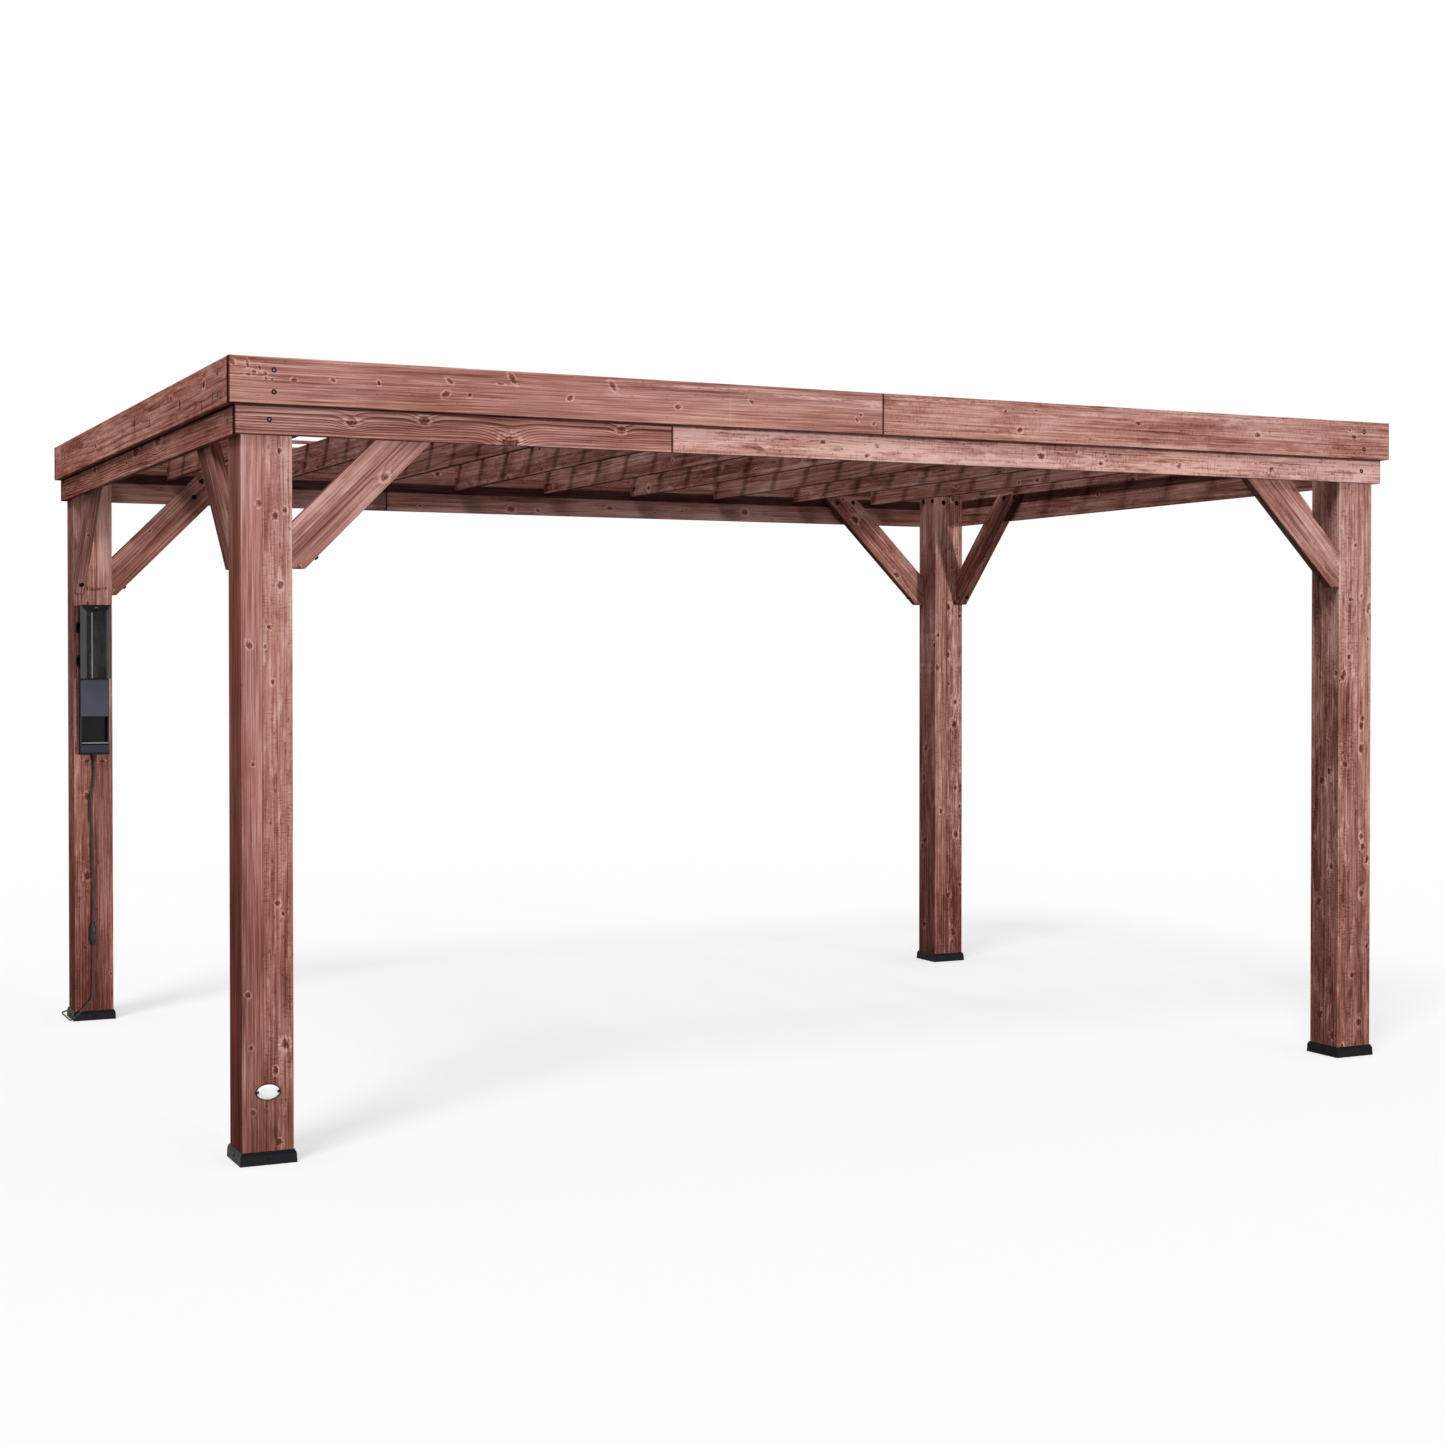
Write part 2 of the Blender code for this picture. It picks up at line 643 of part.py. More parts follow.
def lower_route(x, y):
    """The thin lead drops aslant to the skirt's corner, turns round it and runs to the coil."""
    rest = LOWER_DIAMETER / 2 + SEAT
    half = POST / 2 + SKIRT_PROUD + SKIRT_FLARE
    before = POST_Y - half - LOWER_DIAMETER / 2 - CORD_BESIDE_SKIRT
    left = -POST_X - half - LOWER_DIAMETER / 2 - CORD_BESIDE_SKIRT
    slant = x - left
    corner = [
        (left + 0.71 * CORD_BEND, before, rest + 0.71 * CORD_BEND),
        (left + 0.44 * CORD_BEND, before + 0.08 * CORD_BEND, rest + 0.44 * CORD_BEND),
        (left + 0.21 * CORD_BEND, before + 0.30 * CORD_BEND, rest + 0.21 * CORD_BEND),
        (left + 0.05 * CORD_BEND, before + 0.62 * CORD_BEND, rest + 0.05 * CORD_BEND),
        (left, before + CORD_BEND, rest),
    ]
    outer_turn = COIL_REACH - LOWER_DIAMETER / 2
    across = COIL_X - left
    arc = (across**2 + COIL_ARC_BEFORE**2 - outer_turn**2) / (2 * (across - outer_turn))
    into_coil = []
    for step in range(COIL_ARC_STEPS + 1):
        angle = COIL_ARC * step / COIL_ARC_STEPS
        behind = COIL_Y - COIL_ARC_BEFORE + arc * math.sin(angle)
        into_coil.append((left + arc * (1 - math.cos(angle)), behind, rest))
    return [
        (x, y, CONNECTOR_TOP - CONNECTOR_LONG - SEAT),
        (x, y - 0.001, 0.235),
        (x - 0.001, y - 0.002, 0.180),
        (x, y - 0.0035, rest + 1.29 * slant),
        (x - 0.023 * slant, y - 0.004, rest + 1.12 * slant),
        (x - 0.090 * slant, y - 0.004, rest + 0.95 * slant),
        (x - 0.196 * slant, y - 0.004, rest + 0.81 * slant),
        *corner,
        (left, POST_Y, rest),
        (left, POST_Y + POST / 2, rest),
        *into_coil,
    ]


def make_supply_lead(rubber, unit):
    """Gland, upper lead, in-line connector and thinner lower lead."""
    x = unit.location[0] + CORD_X
    y = unit.location[1] - GLAND_FROM_POST
    gland_z = UNIT_FOOT - SEAT - GLAND_LONG / 2
    gland = rod_mesh("cord_gland", GLAND_RADIUS, GLAND_LONG, sides=CORD_SIDES, tip=GLAND_TIP)
    place("cord_gland", gland, rubber, (CORD_X, -GLAND_FROM_POST, gland_z), unit)
    start = (x, y, UNIT_FOOT - GLAND_LONG - 2 * SEAT)
    hang_x = x - CONNECTOR_LEFT
    upper = upper_route(start, (hang_x, y, CONNECTOR_TOP + SEAT))
    make_lead("cord_upper", upper, UPPER_DIAMETER, rubber)
    make_connector(rubber, (hang_x, y, CONNECTOR_TOP - CONNECTOR_LONG / 2))
    make_lead("cord_lower", lower_route(hang_x, y), LOWER_DIAMETER, rubber)


def make_connector(rubber, middle):
    """Two mated moulded halves, slimmer at both necks."""
    half = CONNECTOR_LONG / 2
    body = half - CONNECTOR_NECK_LONG
    profile = [
        (CONNECTOR_NECK, -half),
        (CONNECTOR_RADIUS, -body),
        (CONNECTOR_RADIUS, body),
        (CONNECTOR_NECK, half),
    ]
    mesh = turned_mesh("cord_connector", profile, CORD_SIDES, hollow=False)
    place("cord_connector", mesh, rubber, middle)


def make_coil(rubber):
    """The stored part of the lower lead, as the ring that its turns fill."""
    inner = COIL_TURN_RADIUS - COIL_TURNS_WIDE * LOWER_DIAMETER / 2
    top = COIL_TURNS_HIGH * LOWER_DIAMETER
    corner = LOWER_DIAMETER / 4
    profile = [
        (inner + corner, 0),
        (COIL_REACH - corner, 0),
        (COIL_REACH, corner),
        (COIL_REACH, top - corner),
        (COIL_REACH - corner, top),
        (inner + corner, top),
        (inner, top - corner),
        (inner, corner),
    ]
    mesh = turned_mesh("cord_coil", profile, COIL_SIDES, hollow=True)
    place("cord_coil", mesh, rubber, (COIL_X, COIL_Y, SEAT))


def make_plug(rubber):
    """A moulded plug where the lead leaves the coil's back, with two flat blades."""
    line = COIL_REACH + SEAT + LOWER_DIAMETER / 2
    sections = (
        (0, LOWER_DIAMETER, LOWER_DIAMETER),
        (PLUG_TAIL, LOWER_DIAMETER, LOWER_DIAMETER),
        (PLUG_TAIL + PLUG_NECK, PLUG_WIDE, PLUG_HIGH),
        (PLUG_TAIL + PLUG_LONG, PLUG_WIDE, PLUG_HIGH),
    )
    loops = []
    for x, wide, high in sections:
        signs = ((-1, -1), (1, -1), (1, 1), (-1, 1))
        loops.append([(x, side * wide / 2, rise * high / 2) for side, rise in signs])
    at = (COIL_X + PLUG_ASIDE, COIL_Y + line, PLUG_HIGH / 2 + SEAT)
    plug = place("cord_plug", loft_mesh("cord_plug", loops), rubber, at)
    ease(plug, EASED / 2)
    for way in (-1, 1):
        size = (2 * PLUG_PIN_LONG, PLUG_PIN_THICK, PLUG_PIN_HIGH)
        tip = (at[0] + PLUG_TAIL + PLUG_LONG, at[1] + way * PLUG_PIN_SPACING / 2, at[2])
        combine(plug, helper("blade", box_mesh("blade", size), tip), "UNION")


def main():
    clear_scene()
    cedar = principled("cedar", (0.36, 0.19, 0.15), 0.75)
    skirt_plastic = principled("skirt_plastic", (0.012, 0.012, 0.014), 0.5)
    unit_plastic = principled("unit_plastic", (0.02, 0.021, 0.025), 0.45)
    plate_plastic = principled("plate_plastic", (0.055, 0.065, 0.09), 0.5)
    smoked = principled("smoked_cover", (0.05, 0.055, 0.05), 0.2, alpha=0.6)
    rubber = principled("cord_rubber", (0.03, 0.03, 0.035), 0.55)
    make_posts(cedar)
    make_skirts(skirt_plastic)
    make_ring(cedar)
    make_roof(cedar)
    make_braces(cedar)
    unit = bpy.data.objects.new("power_unit", None)
    unit.location = (-POST_X + UNIT_OFF_CENTRE, POST_Y - POST / 2, 0)
    bpy.context.scene.collection.objects.link(unit)
    bpy.context.view_layer.update()
    make_power_box(unit_plastic, unit)
    make_power_plate(plate_plastic, unit)
    make_outlet_panel(unit_plastic, unit)
    make_cover(smoked, unit)
    make_supply_lead(rubber, unit)
    make_coil(rubber)
    make_plug(rubber)


main()
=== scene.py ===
import math
import random

import bmesh
import bpy
from mathutils import Matrix, Vector


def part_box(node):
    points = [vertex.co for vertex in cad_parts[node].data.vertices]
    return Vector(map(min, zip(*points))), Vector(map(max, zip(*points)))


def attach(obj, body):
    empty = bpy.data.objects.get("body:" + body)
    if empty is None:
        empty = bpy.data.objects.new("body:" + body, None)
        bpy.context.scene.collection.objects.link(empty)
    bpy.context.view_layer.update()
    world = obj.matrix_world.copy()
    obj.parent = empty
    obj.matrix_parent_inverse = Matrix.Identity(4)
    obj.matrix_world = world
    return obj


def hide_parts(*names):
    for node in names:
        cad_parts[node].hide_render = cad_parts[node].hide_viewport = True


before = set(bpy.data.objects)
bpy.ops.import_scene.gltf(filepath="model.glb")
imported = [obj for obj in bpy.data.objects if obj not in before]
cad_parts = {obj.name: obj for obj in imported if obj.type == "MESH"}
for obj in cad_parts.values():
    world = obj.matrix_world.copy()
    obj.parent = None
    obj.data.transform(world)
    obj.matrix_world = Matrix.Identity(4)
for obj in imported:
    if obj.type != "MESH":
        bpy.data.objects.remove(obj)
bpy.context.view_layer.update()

# ----------------------------------------
# Posts
# Four square cedar posts, each glued up from two boards, so that a seam runs
# down its front and back. They are planed or left from the saw and stained
# red-brown, and are painted lighter at the top and darker at the foot as painted light and shade.
# ----------------------------------------
POST = 0.142
POST_X, POST_Y = 1.8984, 1.3384
POST_TOP = 2.1157
SEAM = 0.0125
X, Y, Z = Vector((1, 0, 0)), Vector((0, 1, 0)), Vector((0, 0, 1))
GRAIN_DARK, GRAIN_RED = (0.110, 0.036, 0.027), (0.245, 0.092, 0.071)
GRAIN_ROSE, GRAIN_PALE = (0.440, 0.206, 0.172), (0.700, 0.430, 0.385)
CORNERS = {"front_left": (-1, -1), "front_right": (1, -1), "rear_left": (-1, 1), "rear_right": (1, 1)}


def add(tree, kind, inputs=None, **settings):
    """One shader node. An input is a number, a colour or another node's output."""
    made = tree.nodes.new("ShaderNode" + kind)
    for name, value in settings.items():
        setattr(made, name, value)
    for name, value in (inputs or {}).items():
        if isinstance(value, bpy.types.NodeSocket):
            tree.links.new(value, made.inputs[name])
        else:
            made.inputs[name].default_value = value
    return made


def sums(tree, operation, *values):
    return add(tree, "Math", dict(enumerate(values)), operation=operation).outputs[0]


def vectors(tree, operation, *values):
    """Vector arithmetic; a dot product or a length comes from the number output."""
    made = add(tree, "VectorMath", dict(enumerate(values)), operation=operation)
    return made.outputs["Value" if operation in ("DOT_PRODUCT", "LENGTH") else "Vector"]


def parts(tree, vector):
    """A vector's three numbers."""
    return add(tree, "SeparateXYZ", {0: vector}).outputs


def joined(tree, *values):
    return add(tree, "CombineXYZ", dict(enumerate(values))).outputs[0]


def here(tree):
    """Where a point lies, in metres in the object's own frame."""
    return add(tree, "TexCoord").outputs["Object"]


def looks_to(tree, way):
    """1 where a face looks this way, -1 where it looks away from it."""
    return vectors(tree, "DOT_PRODUCT", add(tree, "TexCoord").outputs["Normal"], way)


def fade(tree, value, none, full):
    """0 where the value is none, 1 where it is full, smooth between."""
    ends = {"Value": value, "From Min": none, "From Max": full}
    return add(tree, "MapRange", ends, interpolation_type="SMOOTHSTEP").outputs[0]


def hump(tree, value, middle, width):
    """1 at the middle, falling off smoothly over the width on both sides."""
    off = sums(tree, "DIVIDE", sums(tree, "SUBTRACT", value, middle), width)
    return sums(tree, "EXPONENT", sums(tree, "MULTIPLY", sums(tree, "MULTIPLY", off, off), -1))


def patches(tree, place, per_metre, detail=2):
    """Cloudy variation, so many to the metre: one number, or along, across and through the board."""
    if isinstance(per_metre, (int, float)):
        per_metre = (per_metre,) * 3
    spread = vectors(tree, "MULTIPLY", place, per_metre)
    inputs = {"Vector": spread, "Scale": 1, "Detail": detail, "Roughness": 0.55}
    return add(tree, "TexNoise", inputs).outputs[0]


def patchy(tree, place, per_metre, detail, none, full):
    """Patches with soft borders: 0 outside them, 1 inside."""
    return fade(tree, patches(tree, place, per_metre, detail), none, full)


def stain(tree, amount, shades):
    """The colour at this amount among shades given as (amount, colour)."""
    made = add(tree, "ValToRGB", {"Fac": amount})
    shade = made.color_ramp
    shade.elements.remove(shade.elements[1])
    shade.elements[0].position, shade.elements[0].color = shades[0][0], (*shades[0][1], 1)
    for at, colour in shades[1:]:
        shade.elements.new(at).color = (*colour, 1)
    return made.outputs[0]


def paint(tree, amount, under, over, way="MIX"):
    return add(tree, "Mix", {0: amount, 6: under, 7: over}, data_type="RGBA", blend_type=way).outputs[2]


def sockets(tree, given, made):
    """Names what a shared piece of shading is given and what it gives back."""
    for names, way in ((given, "INPUT"), (made, "OUTPUT")):
        for name, kind in names.items():
            tree.interface.new_socket(name, in_out=way, socket_type="NodeSocket" + kind)
    return tree.nodes.new("NodeGroupInput").outputs, tree.nodes.new("NodeGroupOutput").inputs


def knot_shading():
    """A branch that runs through the board: it bends the rings round it and leaves a core."""
    tree = bpy.data.node_groups.new("knot", "ShaderNodeTree")
    given, made = sockets(
        tree,
        {"Board": "Vector", "Place": "Vector", "Size": "Float", "Long": "Float", "Slant": "Float",
         "Push": "Float", "Bend": "Float", "Core": "Float"},
        {"Bend": "Float", "Core": "Float"},
    )
    away = vectors(tree, "SUBTRACT", given["Board"], given["Place"])
    slanted = add(tree, "VectorRotate", {"Vector": away, "Angle": given["Slant"]}, rotation_type="Z_AXIS")
    along, across, _ = parts(tree, slanted.outputs[0])
    along = sums(tree, "DIVIDE", along, given["Long"])
    apart = sums(tree, "MULTIPLY_ADD", along, along, sums(tree, "MULTIPLY", across, across))
    core = sums(tree, "DIVIDE", sums(tree, "SQRT", apart), given["Size"])
    push = sums(tree, "MULTIPLY", given["Size"], given["Push"])
    push = sums(tree, "MULTIPLY", hump(tree, core, 0, 3.0), push)
    tree.links.new(sums(tree, "ADD", given["Bend"], push), made["Bend"])
    tree.links.new(sums(tree, "MINIMUM", given["Core"], core), made["Core"])
    return tree


SEED_SHIFT = (7.31, 3.17, 5.53)
SMALL_KNOTS_PER_METRE = (6.4, 8.6, 1)
DRAWN_OUT = 1.4
RINGS_PER_METRE, WANDER = 118, 0.030


def cedar_shading():
    """Stained softwood: growth rings round a pith, fibres, knots, saw marks and worn edges."""
    tree = bpy.data.node_groups.new("cedar_wood", "ShaderNodeTree")
    given, made = sockets(
        tree,
        {"Board": "Vector", "Seed": "Float", "Pith": "Vector", "Half": "Vector", "End": "Float",
         "Side": "Float", "Line": "Float", "Rings": "Float", "Rough": "Float", "Knotty": "Float",
         "Bend": "Float", "Core": "Float", "Dark": "Float", "Dye And Painted Light": "Color"},
        {"Color": "Color", "Roughness": "Float", "Relief": "Float"},
    )

    def m(operation, *values):
        return sums(tree, operation, *values)

    def both(first, second):
        return m("MULTIPLY", first, second)

    def adding(what, times, so_far):
        """So far, with this thing added so many times over."""
        return m("MULTIPLY_ADD", what, times, so_far)

    def uneven(spot, per_metre, detail=2):
        """Variation to both sides of nothing."""
        return m("SUBTRACT", patches(tree, spot, per_metre, detail), 0.5)

    def roughly(more, base=0.0):
        """A number that changes with how much of the saw's roughness is left."""
        return adding(given["Rough"], more, base)

    def elsewhere():
        """The same wood read in another spot, for a variation that has nothing to do with the first."""
        return vectors(tree, "ADD", place, (3.7, 9.1, 1.3))

    x, y, z = parts(tree, given["Board"])
    lean, pith_y, pith_z = parts(tree, given["Pith"])
    shift = joined(tree, *(both(given["Seed"], far) for far in SEED_SHIFT))
    place = vectors(tree, "ADD", given["Board"], shift)

    # small knots scattered over each face, ragged in outline
    width = add(tree, "Mix", {0: given["Side"], 2: y, 3: z}).outputs[0]
    width = adding(given["Side"], 3.7, adding(given["Seed"], SEED_SHIFT[1], width))
    face = joined(tree, adding(given["Seed"], SEED_SHIFT[0], x), width)
    cell = vectors(tree, "MULTIPLY", face, SMALL_KNOTS_PER_METRE)
    scattered = add(tree, "TexVoronoi", {"Vector": cell, "Scale": 1}, voronoi_dimensions="2D")
    away = vectors(tree, "SUBTRACT", cell, scattered.outputs["Position"])
    to_metres = (SMALL_KNOTS_PER_METRE[0] * DRAWN_OUT, SMALL_KNOTS_PER_METRE[1], 1)
    away = vectors(tree, "LENGTH", vectors(tree, "DIVIDE", away, to_metres))
    chance = add(tree, "SeparateColor", {0: scattered.outputs["Color"]}).outputs
    size = adding(m("POWER", chance[0], 3), 0.0065, 0.0032)
    size = both(size, m("LESS_THAN", chance[1], given["Knotty"]))
    small = m("DIVIDE", away, m("MAXIMUM", size, 0.0002))
    ragged = adding(uneven(place, 120, 3), roughly(1.6, 0.75), 1)
    core = both(m("MINIMUM", small, given["Core"]), ragged)
    bend = adding(both(hump(tree, small, 0, 2.4), size), 1.1, given["Bend"])

    # rings round the pith, wandering along the board and varying in width
    wander_y = both(uneven(place, (1.0, 4, 4)), WANDER)
    wander_z = both(uneven(elsewhere(), (0.8, 4, 4)), WANDER)
    off_y = m("ADD", m("SUBTRACT", m("SUBTRACT", y, pith_y), both(lean, x)), wander_y)
    off_z = m("ADD", m("SUBTRACT", z, pith_z), wander_z)
    reach = m("SQRT", adding(off_y, off_y, both(off_z, off_z)))
    reach = m("ADD", reach, bend)
    years = joined(tree, reach, given["Seed"])
    rings = adding(reach, RINGS_PER_METRE, both(patches(tree, years, (26, 1, 1), 1), 3.0))
    ring = m("FRACT", rings)
    late = both(m("POWER", ring, 2.2), fade(tree, ring, 1.0, 0.90))
    strength = patchy(tree, place, (0.9, 5, 5), 2, 0.30, 0.66)

    # depth is how dark the wood is, from 0 to 1, and each thing in it adds to it or takes from it
    fibre = patches(tree, place, (6, 270, 270), 3)
    lines = uneven(place, (2.0, 120, 120), 3)
    streak = uneven(place, (1.0, 34, 34), 3)
    cloud = uneven(place, (2.1, 9, 9), 4)
    depth = adding(both(late, given["Rings"]), adding(strength, 0.42, 0.12), 0.375)
    depth = adding(m("SUBTRACT", fibre, 0.5), 1.10, depth)
    depth = adding(lines, adding(given["Rings"], 0.50, 0.35), depth)
    depth = adding(streak, 0.45, depth)
    depth = adding(cloud, roughly(0.40, 0.75), depth)

    # knots: rings of their own round a dark middle, a thin dark rim and a paler swelling round it
    heart = fade(tree, core, 1.05, 0.75)
    broken = patchy(tree, place, 70, 1, 0.30, 0.55)
    rim = both(hump(tree, core, 1.0, 0.17), broken)
    own_rings = m("SINE", both(core, 15))
    depth = adding(heart, adding(own_rings, 0.10, roughly(0.26, 0.13)), depth)
    depth = adding(hump(tree, core, 0.0, 0.50), 0.44, depth)
    depth = adding(rim, roughly(-0.30, 0.62), depth)
    depth = adding(both(hump(tree, core, 1.75, 0.40), broken), -0.32, depth)

    # left from the saw: short dark ticks across the grain, pale torn fibre, dark blotches and flecks
    ticks = patchy(tree, place, (290, 45, 45), 2, 0.50, 0.68)
    sawn = both(ticks, patchy(tree, place, (5, 14, 14), 2, 0.30, 0.60))
    depth = adding(sawn, roughly(0.26), depth)
    depth = adding(patchy(tree, place, (14, 60, 60), 3, 0.50, 0.74), roughly(-0.36), depth)
    depth = adding(patchy(tree, elsewhere(), (9, 40, 40), 3, 0.54, 0.74), roughly(0.36), depth)
    depth = adding(patchy(tree, place, (55, 130, 130), 1, 0.67, 0.76), roughly(0.30, 0.12), depth)

    # edges lose their stain, most of all in long streaks, and sawn ends soak it up
    half_y, half_z, half_x = parts(tree, given["Half"])
    edge = m("MAXIMUM", m("SUBTRACT", half_y, m("ABSOLUTE", y)), m("SUBTRACT", half_z, m("ABSOLUTE", z)))
    worn = both(fade(tree, edge, 0.004, 0.0), patchy(tree, place, 7, 2, 0.35, 0.60))
    depth = adding(worn, -0.24, depth)
    streaks = both(fade(tree, edge, 0.020, 0.006), patchy(tree, place, (1.2, 3, 3), 2, 0.53, 0.64))
    depth = adding(streaks, -0.20, depth)
    depth = adding(given["End"], 0.16, m("ADD", depth, given["Dark"]))

    shades = ((0.0, GRAIN_PALE), (0.38, GRAIN_ROSE), (0.68, GRAIN_RED), (1.0, GRAIN_DARK))
    colour = stain(tree, depth, shades)
    warm = patchy(tree, place, (0.7, 12, 12), 2, 0.35, 0.65)
    colour = paint(tree, both(warm, 0.5), colour, (1.0, 0.90, 0.82, 1), "MULTIPLY")
    # the dye multiplies the colour: a board's own tone, and on the left fascia and left band painted light for
    # the light on their left faces
    colour = paint(tree, 1.0, colour, given["Dye And Painted Light"], "MULTIPLY")

    # sawn ends darken where boards butt in dark joints, and painted shade darkens a line
    # under an edge that the board runs behind
    ends = fade(tree, m("SUBTRACT", half_x, m("ABSOLUTE", x)), 0.0046, 0.0018)
    # painted shade: the shadow that an overhanging edge casts in a line on the board below it
    under = fade(tree, m("SUBTRACT", given["Line"], y), 0.0100, 0.0040)
    under = both(under, m("GREATER_THAN", given["Line"], -1))
    joints_and_painted_shade = m("MAXIMUM", both(ends, 0.9), both(under, 0.92))
    colour = paint(tree, joints_and_painted_shade, colour, (0.12, 0.08, 0.07, 1), "MULTIPLY")
    tree.links.new(colour, made["Color"])
    tree.links.new(adding(streak, 0.25, roughly(0.10, 0.64)), made["Roughness"])
    relief = adding(fibre, 0.55, both(late, -0.30))
    relief = adding(sawn, roughly(-0.9), relief)
    tree.links.new(adding(rim, -0.5, relief), made["Relief"])
    return tree


KNOT, CEDAR = knot_shading(), cedar_shading()


def board_place(tree, middle, along, across):
    """Where a point lies in its board: along the grain, across the face, through the thickness."""
    off = vectors(tree, "SUBTRACT", here(tree), middle)
    ways = (along, across, along.cross(across))
    return joined(tree, *(vectors(tree, "DOT_PRODUCT", off, way) for way in ways))


def looks_along(tree, way):
    """1 on the faces that look along this way, to either side."""
    return sums(tree, "GREATER_THAN", sums(tree, "ABSOLUTE", looks_to(tree, way)), 0.8)


def wood(
    tree, board, end, side, half, seed, rough=0.0, knotty=0.4, dark=0.0, rings=0.75, push=1.0, line=-9.0,
    dye_and_painted_light=(1, 1, 1), painted_shade_to_foot=0.0, pith=None, knots=(), side_knots=(), marks=(),
):
    """The shading of one board, with its own pith and the knots and marks that are listed."""
    chance = random.Random(seed)
    if pith is None:
        lean, across = chance.uniform(-0.02, 0.02), chance.uniform(-0.05, 0.05)
        pith = (lean, across, chance.choice((-1, 1)) * chance.uniform(0.03, 0.12))
    bend, core = 0.0, 9.0
    x, y, z = parts(tree, board)
    flat = vectors(tree, "MULTIPLY", board, (1, 1, 0))
    edgewise = joined(tree, x, z)
    for way, placed in ((flat, knots), (edgewise, side_knots)):
        for along, across, size, *shape in placed:
            long, slant = shape or (1.25, 0.0)
            inputs = {"Board": way, "Place": (along, across, 0), "Size": size, "Long": long, "Slant": slant,
                      "Push": push, "Bend": bend, "Core": core}
            bend, core = add(tree, "Group", inputs, node_tree=KNOT).outputs
    # painted light and shade: the board is made lighter towards its top and darker towards its foot
    if painted_shade_to_foot:
        dark = sums(tree, "MULTIPLY_ADD", x, -painted_shade_to_foot, dark + 0.1 * painted_shade_to_foot)
    for along, across, long, wide, much in marks:
        mark = sums(tree, "MULTIPLY", hump(tree, x, along, long), hump(tree, y, across, wide))
        ragged = patchy(tree, board, (50, 240, 240), 2, 0.34, 0.62)
        dark = sums(tree, "MULTIPLY_ADD", sums(tree, "MULTIPLY", mark, ragged), much, dark)
    inputs = {"Board": board, "Seed": seed * 0.173, "Pith": pith, "Half": half, "End": end, "Side": side,
              "Line": line, "Rings": rings, "Rough": rough, "Knotty": knotty, "Bend": bend, "Core": core,
              "Dark": dark, "Dye And Painted Light": (*dye_and_painted_light, 1)}
    return add(tree, "Group", inputs, node_tree=CEDAR).outputs


def either(tree, second_shows, first, second):
    """Colour, roughness and relief of the second wood where it shows, and of the first elsewhere."""
    colour = paint(tree, second_shows, first[0], second[0])
    numbers = (add(tree, "Mix", {0: second_shows, 2: first[i], 3: second[i]}).outputs[0] for i in (1, 2))
    return colour, *numbers


def new_finish(name):
    """An empty material with its surface shader, ready to be wired."""
    made = bpy.data.materials.new(name)
    made.use_nodes = True
    return made, made.node_tree, made.node_tree.nodes["Principled BSDF"]


def surfaced(tree, surface, colour, gloss, relief, strength, height, shine):
    """Wires a finish: colour, roughness, a relief of this strength and height in metres, and its shine."""
    tree.links.new(colour, surface.inputs["Base Color"])
    tree.links.new(gloss, surface.inputs["Roughness"])
    raised = add(tree, "Bump", {"Strength": strength, "Distance": height, "Height": relief})
    tree.links.new(raised.outputs[0], surface.inputs["Normal"])
    surface.inputs["Specular IOR Level"].default_value = shine


def stained(tree, surface, looks):
    surfaced(tree, surface, *looks, strength=0.7, height=0.0012, shine=0.0)


def cedar(name, middle, along, across, half, seed, seam=None, left_face_painted_light=None, **kinds):
    """The finish of one board, or of two glued along a seam: (offset across, second board's kinds)."""
    made, tree, surface = new_finish(name)
    board = board_place(tree, middle, along, across)
    end, side_face = looks_along(tree, along), looks_along(tree, across)
    colour, gloss, relief = wood(tree, board, end, side_face, half, seed, **kinds)
    if seam:
        offset, second = seam
        other = wood(tree, board, end, side_face, half, seed + 500, **second)
        y = parts(tree, board)[1]
        beyond = sums(tree, "GREATER_THAN", y, offset)
        line = hump(tree, y, offset, 0.0009)
        colour, gloss, relief = either(tree, beyond, (colour, gloss, relief), other)
        colour = paint(tree, sums(tree, "MULTIPLY", line, 0.75), colour, (*GRAIN_DARK, 1))
        relief = sums(tree, "SUBTRACT", relief, line)
    # painted light and shade: faces looking left are multiplied by this colour, for how the light falls on them
    if left_face_painted_light:
        on_left = sums(tree, "GREATER_THAN", looks_to(tree, -across), 0.5)
        colour = paint(tree, on_left, colour, (*left_face_painted_light, 1), "MULTIPLY")
    stained(tree, surface, (colour, gloss, relief))
    return made


def finish_node(node, made):
    """A solid of the model keeps its shape and gets this material."""
    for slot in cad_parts[node].material_slots:
        slot.material = made
